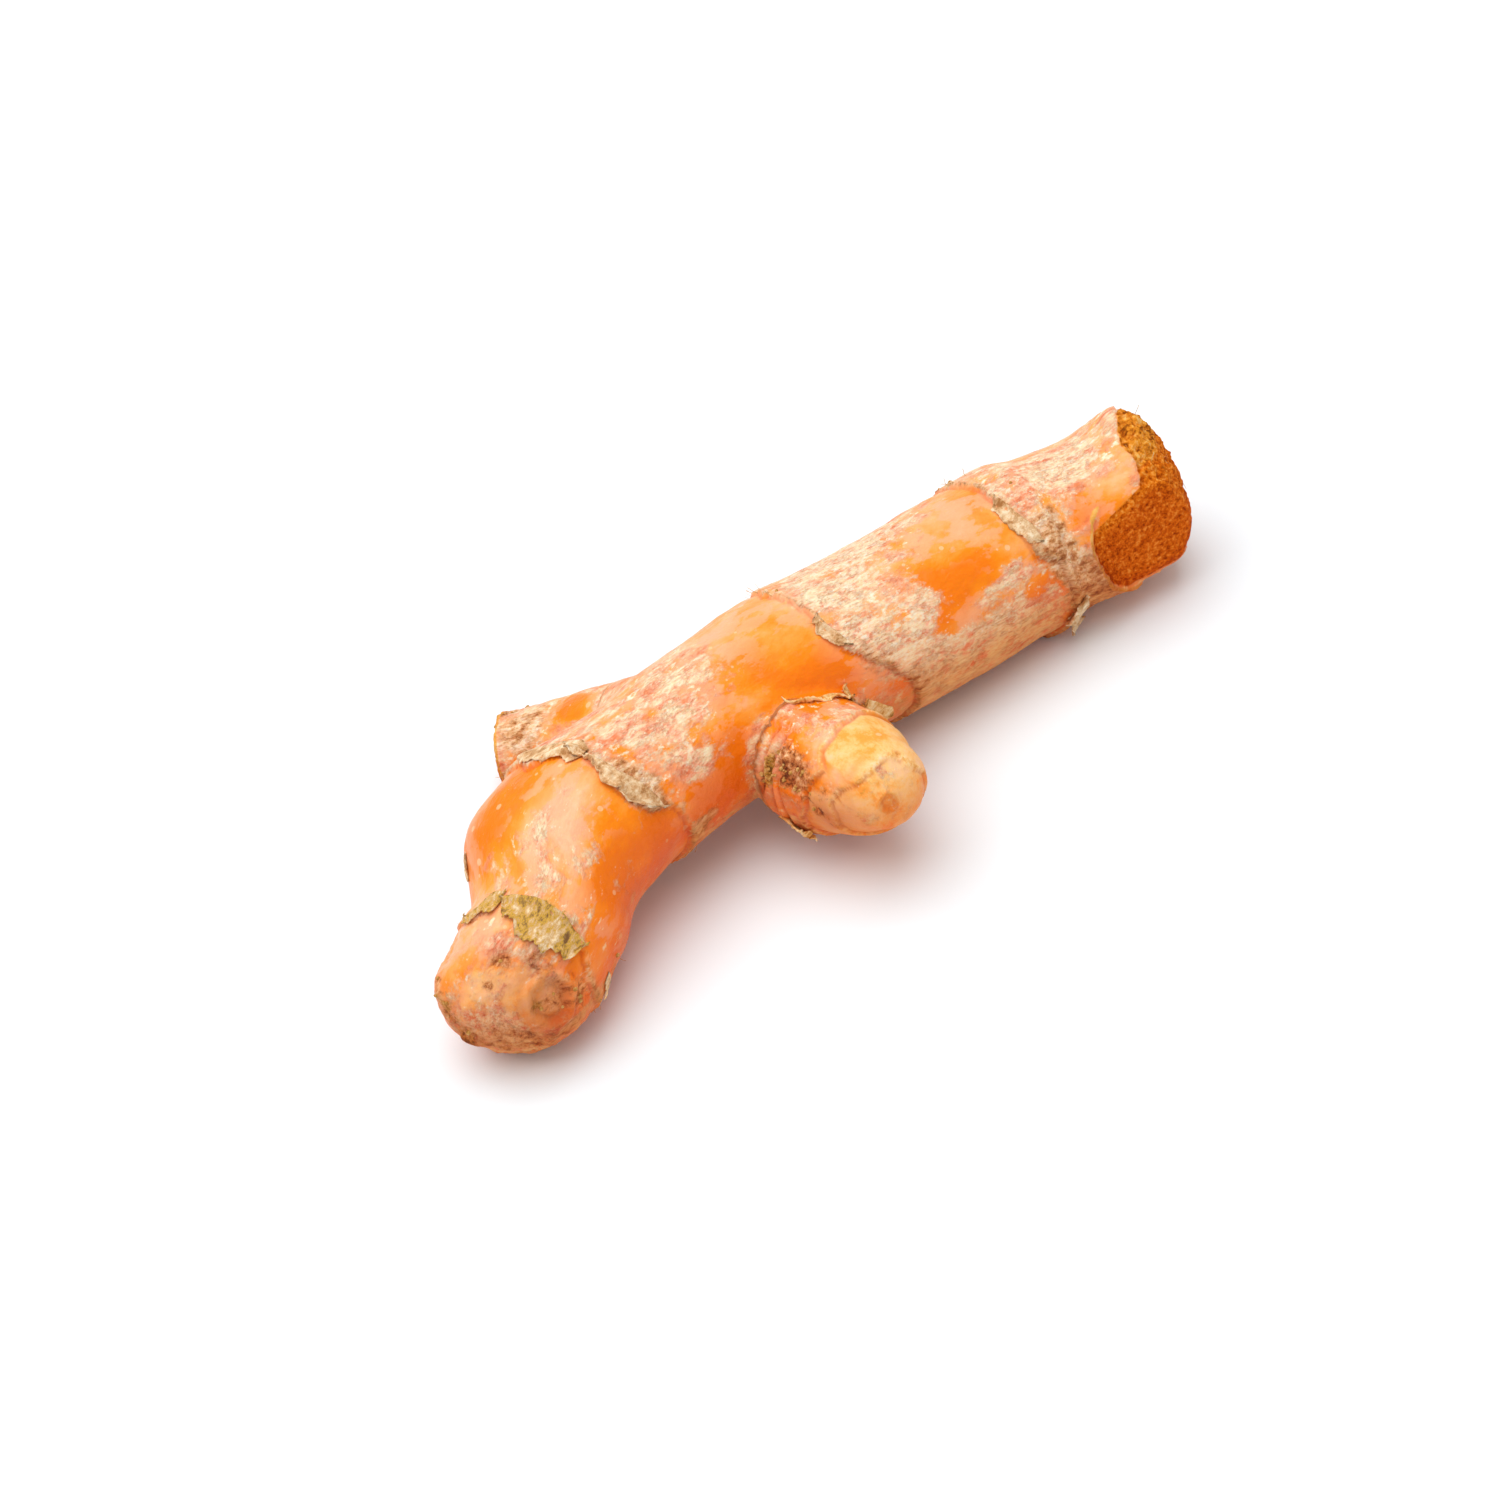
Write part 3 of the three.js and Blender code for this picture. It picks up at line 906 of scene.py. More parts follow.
vivid = add(tree, "ShaderNodeAttribute", {"attribute_name": "vivid"}).outputs["Fac"]
broad = grain_noise(tree, grain_mm, 5.0, 1.4, 5.0, 0.55)
pushed = add(tree, "ShaderNodeMath", MULTIPLY_ADD | {1: VIVID_PUSH}, {0: vivid, 2: broad}).outputs[0]
colour = coloured(add(tree, "ShaderNodeValToRGB", links={"Fac": pushed}), FLESH)
film_noise = grain_noise(tree, grain_mm, 2.4, 1.6, 6.0, 0.6)
soft_limits = {"interpolation_type": "SMOOTHSTEP"} | FILM_LIMITS
film = add(tree, "ShaderNodeMapRange", soft_limits, {"Value": film_noise}).outputs[0]
cleared = MULTIPLY_ADD | {1: VIVID_CLEARS, "use_clamp": True}
film = add(tree, "ShaderNodeMath", cleared, {0: vivid, 2: film}).outputs[0]
colour = add(tree, "ShaderNodeMix", OVER | {7: paint(FILM_PINK)}, {0: film, 6: colour}).outputs[2]
bare_flesh = add(tree, "ShaderNodeValue")
bare_flesh.outputs[0].default_value = FLESH_ROUGHNESS
roughness = bare_flesh.outputs[0]
print(len(FLESH), "flesh colours")

# %% [markdown]
# ## One layer over another
# Every row of the table is handled alike: noise is added to its attribute so the outline frays, a soft
# step turns that into a mask, and the mask lays the row's mottled colour over what is already there.
# Where the attribute is nearly nothing the mask is shut, or the noise alone would sprinkle the layer
# everywhere.

# %% The stack
SHUT_LIMITS = {"interpolation_type": "LINEAR", "From Min": 0.02, "From Max": 0.12}

shown_by = {}
for row in LAYERS:
    size, stretch, fray = row["outline"]
    given = add(tree, "ShaderNodeAttribute", {"attribute_name": row["mask"]}).outputs["Fac"]
    outline = grain_noise(tree, grain_mm, size, stretch, 8.0, 0.68)
    frayed = add(tree, "ShaderNodeMath", MULTIPLY_ADD | {1: fray}, {0: outline, 2: given}).outputs[0]
    low, high = (limit + 0.5 * fray for limit in row["edge"])
    step = {"interpolation_type": "SMOOTHSTEP", "From Min": low, "From Max": high}
    mask = add(tree, "ShaderNodeMapRange", step, {"Value": frayed}).outputs[0]
    allowed = add(tree, "ShaderNodeMapRange", SHUT_LIMITS, {"Value": given}).outputs[0]
    mask = add(tree, "ShaderNodeMath", MULTIPLY, {0: mask, 1: allowed}).outputs[0]
    mottling = grain_noise(tree, grain_mm, *row["mottle"], 8.0, 0.74)
    mottle = coloured(add(tree, "ShaderNodeValToRGB", links={"Fac": mottling}), row["colours"])
    colour = add(tree, "ShaderNodeMix", OVER, {0: mask, 6: colour, 7: mottle}).outputs[2]
    rough = {"data_type": "FLOAT", 3: row["rough"]}
    roughness = add(tree, "ShaderNodeMix", rough, {0: mask, 2: roughness}).outputs[0]
    shown_by[row["name"]] = mask
print(len(shown_by), "layers laid over the flesh")

# %% [markdown]
# ## Fine marks
# Two kinds of tiny marks make it look grown: pale corky specks scattered over the flesh, and hair-fine
# fibres running along the root. Small hollows and the grooves of the eyes and folds are painted a little
# darker and browner as shade, in the same tint as the real stains, and the underside is painted darker and
# warmer as shade. The specks sit in the cells of a Voronoi pattern. Not every cell shows one, and each is
# of its own size.

# %% Specks
SPECK_SPACING = 1.5
SPECK_COLOUR = "FDD3A6"
SPECK_SIZES = {"From Min": 0.55, "From Max": 1.0, "To Min": 0.0, "To Max": 0.24}

cell_settings = {"Scale": 1 / SPECK_SPACING, "Randomness": 1.0}
cells = add(tree, "ShaderNodeTexVoronoi", cell_settings, {"Vector": grain_mm}).outputs
lucky = add(tree, "ShaderNodeSeparateColor", links={"Color": cells["Color"]}).outputs[0]
speck_size = add(tree, "ShaderNodeMapRange", SPECK_SIZES, {"Value": lucky}).outputs[0]
inside = {0: cells["Distance"], 1: speck_size}
speck = add(tree, "ShaderNodeMath", {"operation": "LESS_THAN"}, inside).outputs[0]
off_break = {"To Min": 0.5, "To Max": 0.0}
unbroken = add(tree, "ShaderNodeMapRange", off_break, {"Value": shown_by["granular break"]}).outputs[0]
speck_share = add(tree, "ShaderNodeMath", MULTIPLY, {0: speck, 1: unbroken}).outputs[0]
colour = add(tree, "ShaderNodeMix", OVER | {7: paint(SPECK_COLOUR)}, {0: speck_share, 6: colour}).outputs[2]
print("specks", SPECK_SPACING, "mm apart")

# %% Fibres, painted shade in hollows and on the underside
# Real fibres are finer than 0.1 mm. Here they are drawn 0.24 mm wide, as coarse as they need to be seen.
FIBRE_SIZE = 0.24
FIBRE_LIMITS = {"From Min": 0.54, "From Max": 0.38, "To Min": 0.0, "To Max": 0.50}
FIBRE_TINT = "EA9E60"
# Painted shade in hollows and grooves, over the real stains: how much, and in which brown.
SHADE_AND_STAIN_LIMITS = {"From Min": 0.0, "From Max": 1.0, "To Min": 0.0, "To Max": 0.6}
SHADE_AND_STAIN_TINT = "C67C38"
# Painted shade on the underside: the tint laid on faces that turn down.
UNDERSIDE_SHADE_TINT = "EDBA86"

both_papers = {0: shown_by["cream paper"], 1: shown_by["weathered paper"]}
dry_paper = add(tree, "ShaderNodeMath", {"operation": "MAXIMUM"}, both_papers).outputs[0]
fibres = grain_noise(tree, grain_mm, FIBRE_SIZE, 4.0, 5.0, 0.75)
fibre_shade = add(tree, "ShaderNodeMapRange", FIBRE_LIMITS, {"Value": fibres}).outputs[0]
paper_share = add(tree, "ShaderNodeMath", MULTIPLY_ADD | {1: 0.85, 2: 0.15}, {0: dry_paper}).outputs[0]
fibre_share = add(tree, "ShaderNodeMath", MULTIPLY, {0: fibre_shade, 1: paper_share}).outputs[0]
hollow = add(tree, "ShaderNodeAttribute", {"attribute_name": "hollow"}).outputs["Fac"]
shade_and_stain_share = add(tree, "ShaderNodeMapRange", SHADE_AND_STAIN_LIMITS, {"Value": hollow}).outputs[0]
underside = add(tree, "ShaderNodeAttribute", {"attribute_name": "underside"}).outputs["Fac"]
tints = [(fibre_share, FIBRE_TINT), (shade_and_stain_share, SHADE_AND_STAIN_TINT), (underside, UNDERSIDE_SHADE_TINT)]
for share, tint in tints:
    colour = add(tree, "ShaderNodeMix", TINT | {7: paint(tint)}, {0: share, 6: colour}).outputs[2]
print(len(tints), "tints")

# %% [markdown]
# ## Creases in the paper
# Dry scale skin is creased all over. The places where a noise crosses its middle value form thin
# wandering lines, which serve as creases: they lie lower than the paper between them, and a browner colour
# is painted into them as shade.

# %% Creases
CREASE_LIMITS = {"From Min": 0.0, "From Max": 0.022, "To Min": 1.0, "To Max": 0.0}
CREASE_AMOUNT = 0.38
# Painted shade: the brown laid into the creases.
CREASE_SHADE_TINT = "E08A50"

crease_noise = grain_noise(tree, grain_mm, 2.0, 2.2, 7.0, 0.72)
off_middle = add(tree, "ShaderNodeMath", {"operation": "SUBTRACT", 1: 0.5}, {0: crease_noise}).outputs[0]
distance = add(tree, "ShaderNodeMath", {"operation": "ABSOLUTE"}, {0: off_middle}).outputs[0]
crease = add(tree, "ShaderNodeMapRange", CREASE_LIMITS, {"Value": distance}).outputs[0]
creased = add(tree, "ShaderNodeMath", MULTIPLY, {0: crease, 1: dry_paper}).outputs[0]
crease_shade_share = add(tree, "ShaderNodeMath", MULTIPLY | {1: CREASE_AMOUNT}, {0: creased}).outputs[0]
colour = add(tree, "ShaderNodeMix", TINT | {7: paint(CREASE_SHADE_TINT)}, {0: crease_shade_share, 6: colour}).outputs[2]
print("creases darken the paper by", CREASE_AMOUNT)

# %% [markdown]
# ## Surface feel
# Papery skin is matt with lengthwise creases, flesh is smoother with a faint waxy sheen, and the break is
# grainy and nearly without gloss. Light goes a little way into the flesh, which keeps its shadows warm.

# %% Bump, gloss and subsurface light
GLOSS_LIMITS = {"To Min": 0.21, "To Max": 0.04}
GRIT_SIZE = 0.22
PORE_SIZE = 0.7

crumple = grain_noise(tree, grain_mm, 0.8, 1.8, 8.0, 0.78)
sunk_creases = add(tree, "ShaderNodeMath", MULTIPLY_ADD | {1: -0.25}, {0: crease, 2: crumple}).outputs[0]
paper_bump = add(tree, "ShaderNodeMath", MULTIPLY, {0: sunk_creases, 1: dry_paper}).outputs[0]
grit = grain_noise(tree, grain_mm, GRIT_SIZE, 1.0, 3.0, 0.7)
gritty = {0: grit, 1: shown_by["granular break"], 2: paper_bump}
grit_bump = add(tree, "ShaderNodeMath", MULTIPLY_ADD, gritty).outputs[0]
pores = grain_noise(tree, grain_mm, PORE_SIZE, 1.5, 4.0, 0.6)
all_bump = add(tree, "ShaderNodeMath", MULTIPLY_ADD | {1: 0.7}, {0: pores, 2: grit_bump}).outputs[0]
bump = add(tree, "ShaderNodeBump", {"Strength": 0.7, "Distance": 0.30 * MM}, {"Height": all_bump})
gloss = add(tree, "ShaderNodeMapRange", GLOSS_LIMITS, {"Value": shown_by["granular break"]})
feeds = {"Normal": bump.outputs[0], "Base Color": colour, "Roughness": roughness}
feeds["Specular IOR Level"] = gloss.outputs[0]
for name, source in feeds.items():
    tree.links.new(source, shader.inputs[name])
body.data.materials.clear()
body.data.materials.append(skin_finish)
print("skin finish nodes:", len(tree.nodes))

# %% [markdown]
# ## Finishes for the small pieces
# Dry scale, amber young scale, olive crust, thin tissue, fibre and crumb differ only in colour, mottling
# and how much light they let through, so one table and one loop make all of them. The scales carry the
# root's grain and are streaked along it. Fibres and crumbs are too small for that and are mottled by
# their place.

# %% Six small finishes
SMALL_FINISHES = {
    # Leaf scale that has dried off the root: brittle, straw to grey-tan, matt.
    "dry grey-tan leaf scale": {
        "size": 1.1, "streaked": True, "thin": 0.10,
        "colours": [
            (0.39, "AC7644"), (0.45, "CC9A68"), (0.505, "E0B688"), (0.56, "F0CEA4"), (0.62, "FAE2C0"),
        ],
    },
    # A young scale's dried rim: thin amber skin that lets a little light through.
    "amber young leaf scale": {
        "size": 1.2, "streaked": True, "thin": 0.15,
        "colours": [(0.39, "A8641E"), (0.46, "DA944A"), (0.53, "F0BC7A"), (0.62, "FFDCA8")],
    },
    # Old scale with a dried crust: ochre and olive blotches on straw.
    "olive crusted leaf scale": {
        "size": 0.9, "streaked": True, "thin": 0.05,
        "colours": [
            (0.38, "7E5834"), (0.44, "AB844A"), (0.485, "DAA838"), (0.52, "D0A268"), (0.57, "E0BC8C"),
            (0.63, "F2D8AE"),
        ],
    },
    # A film of dried tissue: pinkish, and so thin that light comes through.
    "pale dried tissue": {
        "size": 0.9, "streaked": True, "thin": 0.5,
        "colours": [(0.38, "DE9A62"), (0.48, "EEB484"), (0.60, "F8CCA2")],
    },
    # Root fibre, as coarse hair: straw-coloured and a little translucent.
    "root fibre": {
        "size": 1.5, "streaked": False, "thin": 0.2,
        "colours": [(0.35, "9C6A34"), (0.5, "CC9A5C"), (0.65, "E8C492")],
    },
    # Crumbs of skin and soil: dull brown grains.
    "skin and soil crumb": {
        "size": 0.5, "streaked": False, "thin": 0.0,
        "colours": [(0.35, "9A6428"), (0.5, "C48E48"), (0.65, "E2B878")],
    },
}
DRY_FEEL = {
    "Roughness": 0.8,
    "Specular IOR Level": 0.12,
    "Subsurface Radius": (1.0, 0.6, 0.4),
    "Subsurface Scale": 0.5 * MM,
}
small_finishes = {}
for name, look in SMALL_FINISHES.items():
    finish, tree, shader = new_finish(name, DRY_FEEL | {"Subsurface Weight": look["thin"]})
    if look["streaked"]:
        place = add(tree, "ShaderNodeAttribute", {"attribute_name": "grain"}).outputs["Vector"]
        mottle = grain_noise(tree, place, look["size"], 1.7, 8.0, 0.76)
    else:
        place = add(tree, "ShaderNodeTexCoord").outputs["Object"]
        mottle = grain_noise(tree, place, look["size"] * MM, 1.0, 6.0, 0.7)
    ramp = add(tree, "ShaderNodeValToRGB", links={"Fac": mottle})
    tree.links.new(coloured(ramp, look["colours"]), shader.inputs["Base Color"])
    bump = add(tree, "ShaderNodeBump", {"Strength": 0.7, "Distance": 0.2 * MM}, {"Height": mottle})
    tree.links.new(bump.outputs[0], shader.inputs["Normal"])
    small_finishes[name] = finish
print("small finishes:", ", ".join(small_finishes))

# %% [markdown]
# ## Loose scales
# Some edges have dried and lifted clear of the root: a curled grey flake over the bend, olive ones near
# the tip, amber strips round the bud and above it. Displacing the skin can't lift a sheet off it, so each
# is a thin closed sheet of its own. It is laid out in the root's own coordinates, dropped onto the skin
# by looking outwards from the centre line, and then lifted towards its free edge, which is frayed.

# %% Table of loose scales
LOOSE_SCALES = [
    # kind, limb, degrees from and to, lift, curl and fray in mm,
    # outline as (degrees, mm along at the root, mm along at the free edge)
    ("dry", "finger", 14, -68, 0.70, 0.5, 0.40, [
        (-70, 70.6, 71.6), (-62, 70.6, 72.8), (-46, 71.0, 74.2), (-31, 72.0, 74.2), (-14, 72.4, 73.3),
        (18, 72.6, 73.4),
    ]),
    ("dry", "finger", 46, -6, 0.40, 0.2, 0.5, [
        (-10, 72.4, 74.4), (5, 71.4, 74.2), (24, 73.0, 75.6), (48, 73.6, 75.0),
    ]),
    ("olive", "finger", 10, -64, 0.60, 0.35, 0.8, [
        (-66, 89.6, 90.6), (-52, 89.0, 91.8), (-36, 88.2, 92.2), (-16, 87.8, 91.8), (0, 87.9, 90.6),
        (12, 88.4, 89.4),
    ]),
    ("olive", "finger", 44, 8, 0.55, 0.4, 0.6, [
        (6, 87.6, 90.0), (20, 87.6, 91.0), (33, 89.4, 92.2), (46, 90.6, 92.0),
    ]),
    ("amber", "bud", 6, -62, 0.60, 0.4, 0.35, [
        (-64, 7.6, 8.4), (-50, 7.6, 9.2), (-34, 7.9, 9.6), (-20, 8.2, 9.4), (-8, 7.4, 8.6), (8, 5.7, 6.5),
    ]),
    ("amber", "finger", -86, -116, 1.10, 0.5, 0.45, [
        (-118, 40.8, 42.6), (-106, 41.2, 44.8), (-94, 43.0, 46.0), (-84, 44.6, 46.0),
    ]),
    ("amber", "finger", -69, -80, 0.45, 0.3, 0.3, [
        (-81, 46.0, 46.8), (-75, 46.0, 47.4), (-68, 46.2, 46.9),
    ]),
    ("amber", "bud", 108, 138, 1.00, 0.5, 0.5, [(105, 10.0, 12.2), (122, 9.6, 13.0), (140, 10.0, 12.0)]),
    ("dry", "finger", -104, -138, 0.90, 0.4, 0.5, [
        (-140, 15.6, 17.8), (-122, 15.0, 18.9), (-102, 15.4, 17.0),
    ]),
    ("dry", "finger", -8, -50, 0.22, 0.1, 0.6, [
        (-52, 19.2, 21.0), (-38, 19.6, 22.0), (-26, 20.6, 22.6), (-6, 21.4, 22.3),
    ]),
    ("dry", "finger", -20, -48, 0.35, 0.2, 0.35, [
        (-50, 43.6, 44.6), (-42, 44.2, 45.8), (-30, 45.0, 46.3), (-18, 45.2, 46.0),
    ]),
    ("dry", "finger", 58, 76, 0.40, 0.2, 0.5, [(56, 82.6, 83.6), (66, 82.2, 84.6), (78, 82.6, 83.8)]),
    ("tissue", "finger", -100, -114, 0.26, -0.1, 0.7, [
        (-116, 89.6, 90.2), (-110, 89.4, 91.0), (-104, 89.5, 90.7), (-99, 89.6, 90.1),
    ]),
    ("dry", "finger", 150, 178, 0.6, 0.3, 0.5, [(148, 45.0, 47.0), (164, 44.0, 48.0), (180, 44.5, 46.5)]),
]

print(len(LOOSE_SCALES), "loose scales")

# %% Finding the skin from inside
SHEET_REACH = 11.0
USUAL_RADIUS = 6.0

skin_tree = bvhtree.BVHTree.FromPolygons(
    [Vector(p) for p in dressed.tolist()], [tuple(face.vertices) for face in body.data.polygons]
)


def drop_on_skin(line, along, degrees):
    """The skin's point and outward direction at a place along a limb, looking out from its centre line."""
    number = int(np.clip(round(along / LINE_STEP), 0, len(line["place"]) - 1))
    turn = math.radians(degrees)
    outward = line["side"][number] * math.sin(turn) + line["up"][number] * math.cos(turn)
    start = line["at"][number] + line["along"][number] * (along - line["place"][number])
    hit = skin_tree.ray_cast(Vector(start), Vector(outward), SHEET_REACH)[0]
    return (np.array(hit) if hit else start + outward * USUAL_RADIUS), outward, line["along"][number]


# %% Shape of one sheet
SHEET_THICK = 0.11
COLUMN_DEGREES = 1.6
FEWEST_COLUMNS = 12
SHEET_STEPS = 12
ROOT_GAP = 0.06
CREASE_RISE = 0.16
GRAIN_RADIUS = 8.0


def loose_scale(row, seed):
    """One lifted, frayed sheet: its upper points, its lower points and the grain at each, as grids."""
    _, limb, first, last, lift, curl, fray, outline = row
    across = max(FEWEST_COLUMNS, int(abs(last - first) / COLUMN_DEGREES))
    angle, root_place, free_place = np.array(outline, float).T
    points = []
    grain_there = []
    for j in range(across + 1):
        degrees = first + (last - first) * j / across
        side = min(j, across - j) / across
        ragged = fray * noise.fractal(Vector((degrees * 0.16, seed * 7.1, 0.5)), 0.6, 2.2, 5)
        start = np.interp(degrees, angle, root_place)
        end = np.interp(degrees, angle, free_place) + ragged
        end = start + (end - start) * ease(side, -0.02, 0.10)
        for i in range(SHEET_STEPS + 1):
            u = i / SHEET_STEPS
            along = start + (end - start) * u
            point, outward, along_way = drop_on_skin(lines[limb], along, degrees)
            wave = noise.fractal(Vector((degrees * 0.07, u * 1.3, seed * 3.3)), 0.8, 2.0, 3)
            crease = noise.fractal(Vector((degrees * 0.22, u * 3.2, seed * 5.7)), 0.7, 2.0, 4)
            rise = ROOT_GAP + lift * u**1.6 * (0.65 + 0.7 * wave) * (0.3 + 0.7 * ease(side, 0.0, 0.12))
            rise += CREASE_RISE * crease * ease(u, 0.0, 0.3)
            points.append(point + outward * rise - along_way * curl * u**3 * (0.6 + wave))
            grain_there.append((along, math.radians(degrees) * GRAIN_RADIUS, 10.0 * seed))
    top = np.array(points).reshape(across + 1, SHEET_STEPS + 1, 3)
    grain_there = np.array(grain_there).reshape(top.shape)
    facing = np.cross(np.gradient(top, axis=1), np.gradient(top, axis=0))
    facing /= np.linalg.norm(facing, axis=2)[:, :, None] + 1e-9
    outward = drop_on_skin(lines[limb], root_place.mean(), (first + last) / 2)[1]
    if facing[across // 2, 1] @ outward < 0:
        facing = -facing[::-1]
        top = top[::-1]
        grain_there = grain_there[::-1]
    return top, top - facing * SHEET_THICK, grain_there


# %% Mesh of all sheets of one kind
def sheet_mesh(name, rows, first_seed):
    """All sheets of one kind as one mesh, each closed all round by a rim between its two sides."""
    vertices = []
    faces = []
    sheet_grain = []
    for number, row in enumerate(rows):
        top, under, grain_there = loose_scale(row, first_seed + number)
        m, n = top.shape[:2]
        base = len(vertices)
        below = m * n
        for side in (top, under):
            vertices += [tuple(p * MM) for p in side.reshape(-1, 3)]
            sheet_grain.append(grain_there.reshape(-1, 3))
        for j in range(m - 1):
            for i in range(n - 1):
                a = base + j * n + i
                faces.append((a, a + 1, a + n + 1, a + n))
                faces.append((a + below, a + n + below, a + n + 1 + below, a + 1 + below))
        ring = [base + i for i in range(n)]
        ring += [base + j * n + n - 1 for j in range(1, m)]
        ring += [base + (m - 1) * n + i for i in range(n - 2, -1, -1)]
        ring += [base + j * n for j in range(m - 2, 0, -1)]
        for here, there in zip(ring, ring[1:] + ring[:1]):
            faces.append((here, here + below, there + below, there))
    mesh = bpy.data.meshes.new(name)
    mesh.from_pydata(vertices, [], faces)
    store(mesh, "grain", np.vstack(sheet_grain))
    outwards = bmesh.new()
    outwards.from_mesh(mesh)
    bmesh.ops.recalc_face_normals(outwards, faces=outwards.faces)
    outwards.to_mesh(mesh)
    outwards.free()
    mesh.shade_smooth()
    return mesh


# %% Build the loose scales
SHEET_KINDS = {
    "dry": ("dry_scale_flakes", "dry grey-tan leaf scale"),
    "amber": ("amber_scale_strips", "amber young leaf scale"),
    "olive": ("olive_scale_flakes", "olive crusted leaf scale"),
    "tissue": ("tissue_fringe", "pale dried tissue"),
}
sheets = []
for kind, (name, finish) in SHEET_KINDS.items():
    rows = [row for row in LOOSE_SCALES if row[0] == kind]
    sheet = new_object(name, sheet_mesh(name, rows, 10 * (len(sheets) + 1)))
    sheet.data.materials.append(small_finishes[finish])
    sheets.append(sheet)
print({sheet.name: len(sheet.data.polygons) for sheet in sheets})

# %% [markdown]
# ## Fibres and crumbs
# Torn edges and the broken end bristle with hair-fine fibres, and dry crumbs of skin and soil cling to
# scars. They are the same thing many times over, so one Geometry Nodes tree scatters them: it takes the
# skin's own attribute as density, sets a small shape on every point, turns it along the root, and makes
# the result real. A real root fibre is finer than a hair. These are 0.05 mm thick, as coarse as they need
# to be seen.

# %% The scatter tree
STRAY = 0.7


def scatter_tree(name, shape):
    """Geometry Nodes: points on the faces by a density attribute, each with a turned and scaled shape."""
    tree = bpy.data.node_groups.new(name, "GeometryNodeTree")
    sockets = tree.interface
    sockets.new_socket("Geometry", in_out="INPUT", socket_type="NodeSocketGeometry")
    for measure in ("Per square mm", "Smallest", "Largest", "Lift"):
        sockets.new_socket(measure, in_out="INPUT", socket_type="NodeSocketFloat")
    sockets.new_socket("Seed", in_out="INPUT", socket_type="NodeSocketInt")
    sockets.new_socket("Finish", in_out="INPUT", socket_type="NodeSocketMaterial")
    sockets.new_socket("Geometry", in_out="OUTPUT", socket_type="NodeSocketGeometry")
    given = add(tree, "NodeGroupInput").outputs
    density = add(tree, "GeometryNodeInputNamedAttribute", {"data_type": "FLOAT", "Name": name})
    scaled = add(tree, "ShaderNodeMath", MULTIPLY | {1: 1 / MM**2}, {0: given["Per square mm"]})
    product = {0: scaled.outputs[0], 1: density.outputs["Attribute"]}
    per_area = add(tree, "ShaderNodeMath", MULTIPLY, product)
    places = {"Mesh": given["Geometry"], "Density": per_area.outputs[0], "Seed": given["Seed"]}
    spread = add(tree, "GeometryNodeDistributePointsOnFaces", links=places)
    growth = add(tree, "GeometryNodeInputNamedAttribute", {"data_type": "FLOAT_VECTOR", "Name": "growth"})
    lifted = {0: spread.outputs["Normal"], "Scale": given["Lift"]}
    outward = add(tree, "ShaderNodeVectorMath", {"operation": "SCALE"}, lifted)
    lean = add(tree, "ShaderNodeVectorMath", links={0: growth.outputs["Attribute"], 1: outward.outputs[0]})
    stray_range = {"data_type": "FLOAT_VECTOR", 0: (-STRAY,) * 3, 1: (STRAY,) * 3}
    stray = add(tree, "FunctionNodeRandomValue", stray_range, {"Seed": given["Seed"]})
    pointing = add(tree, "ShaderNodeVectorMath", links={0: lean.outputs[0], 1: stray.outputs[0]})
    turn = add(tree, "FunctionNodeAlignRotationToVector", {"axis": "Z"}, {"Vector": pointing.outputs[0]})
    sizes = {2: given["Smallest"], 3: given["Largest"], "Seed": given["Seed"]}
    size = add(tree, "FunctionNodeRandomValue", {"data_type": "FLOAT"}, sizes)
    settle = {"Points": spread.outputs["Points"], "Instance": shape(tree)}
    settle |= {"Rotation": turn.outputs[0], "Scale": size.outputs[1]}
    settled = add(tree, "GeometryNodeInstanceOnPoints", links=settle)
    real = add(tree, "GeometryNodeRealizeInstances", links={"Geometry": settled.outputs[0]})
    dressed_shape = {"Geometry": real.outputs[0], "Material": given["Finish"]}
    finished = add(tree, "GeometryNodeSetMaterial", links=dressed_shape)
    add(tree, "NodeGroupOutput", links={"Geometry": finished.outputs[0]})
    return tree


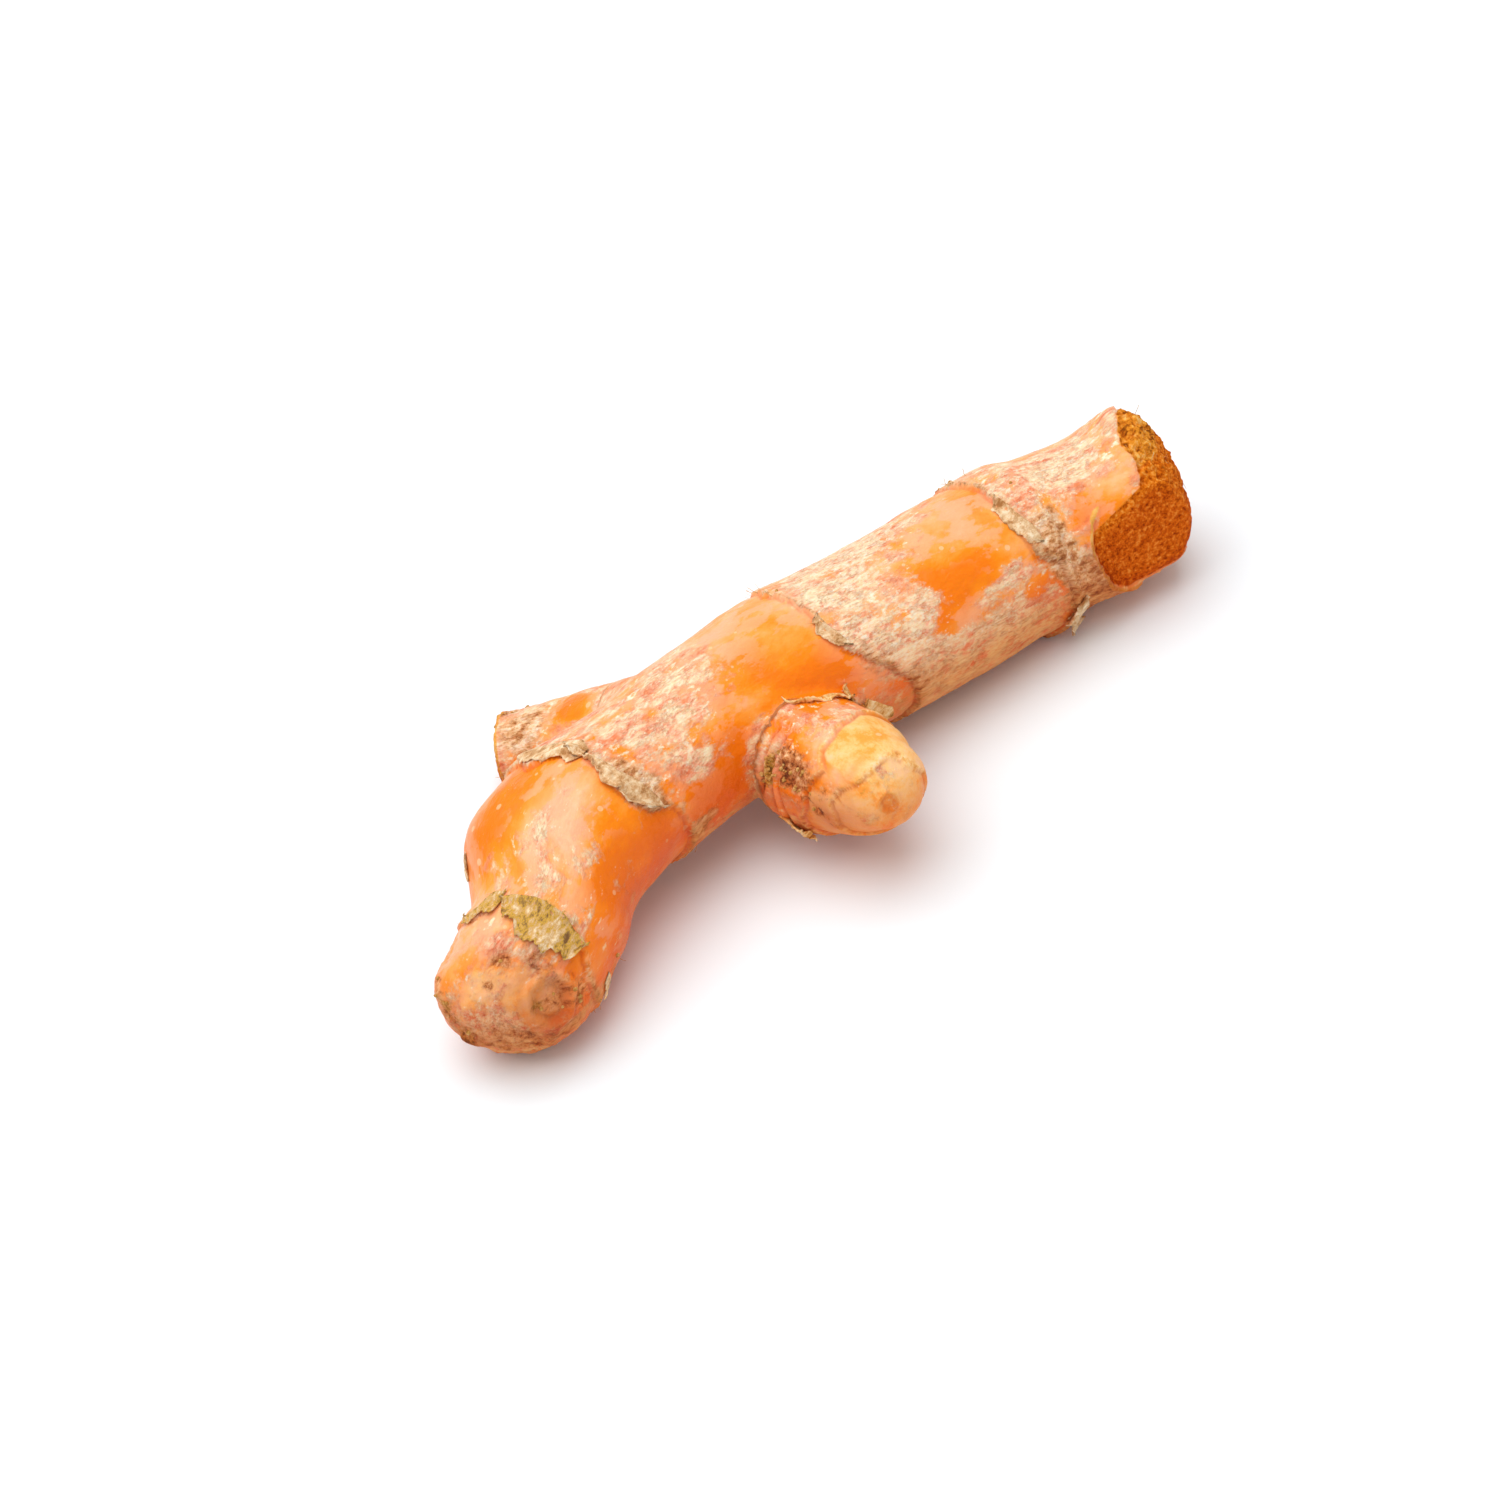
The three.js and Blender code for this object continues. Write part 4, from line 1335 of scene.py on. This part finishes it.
# %% A fibre and a crumb
def fibre_shape(tree):
    """A bent hair, 1 mm long and 0.05 mm thick, standing on its point."""
    bend = {"Start": (0, 0, 0), "Start Handle": (0, 0, 0.4 * MM), "End Handle": (0.25 * MM, 0, 0.7 * MM)}
    bend |= {"End": (0.35 * MM, 0.1 * MM, 1.0 * MM), "Resolution": 6}
    path = add(tree, "GeometryNodeCurvePrimitiveBezierSegment", bend)
    round_hair = add(tree, "GeometryNodeCurvePrimitiveCircle", {"Resolution": 5, "Radius": 0.026 * MM})
    sweep = {"Curve": path.outputs[0], "Profile Curve": round_hair.outputs[0]}
    return add(tree, "GeometryNodeCurveToMesh", {"Fill Caps": True}, sweep).outputs[0]


def crumb_shape(tree):
    """A lump 1 mm across, dented by noise."""
    ball = add(tree, "GeometryNodeMeshIcoSphere", {"Radius": 0.5 * MM, "Subdivisions": 2})
    dents = add(tree, "ShaderNodeTexNoise", {"Scale": 2600.0, "Detail": 2.0})
    centre = {"operation": "SUBTRACT", 1: (0.5, 0.5, 0.5)}
    centred = add(tree, "ShaderNodeVectorMath", centre, {0: dents.outputs["Color"]}).outputs[0]
    push = {"operation": "SCALE", "Scale": 0.6 * MM}
    pushed = add(tree, "ShaderNodeVectorMath", push, {0: centred}).outputs[0]
    moved = {"Geometry": ball.outputs[0], "Offset": pushed}
    return add(tree, "GeometryNodeSetPosition", links=moved).outputs[0]


# %% Scatter them
def scattered(name, shape, finish, inputs):
    """A new piece: the tree's result on the skin, as a plain mesh."""
    piece = new_object(name, body.data.copy())
    spread = piece.modifiers.new(name, "NODES")
    spread.node_group = scatter_tree(name, shape)
    inputs["Finish"] = small_finishes[finish]
    for socket in spread.node_group.interface.items_tree:
        if socket.in_out == "INPUT" and socket.name in inputs:
            spread[socket.identifier] = inputs[socket.name]
    result = piece.evaluated_get(bpy.context.evaluated_depsgraph_get())
    piece.data = bpy.data.meshes.new_from_object(result)
    piece.modifiers.clear()
    print(name, len(piece.data.polygons), "faces")
    return piece


fibre_sizes = {"Per square mm": 1.3, "Smallest": 0.35, "Largest": 1.25, "Lift": 0.45, "Seed": 3}
crumb_sizes = {"Per square mm": 1.1, "Smallest": 0.15, "Largest": 0.55, "Lift": 1.0, "Seed": 5}
fibres_piece = scattered("root_fibres", fibre_shape, "root fibre", fibre_sizes)
crumbs_piece = scattered("skin_crumbs", crumb_shape, "skin and soil crumb", crumb_sizes)

# %% [markdown]
# ## Handing over
# All seven pieces ride on the root's one body. The dressed skin takes the place of the plain model.

# %% Hand the pieces to the model
for piece in [body, fibres_piece, crumbs_piece] + sheets:
    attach(piece, "root")
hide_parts("rhizome")
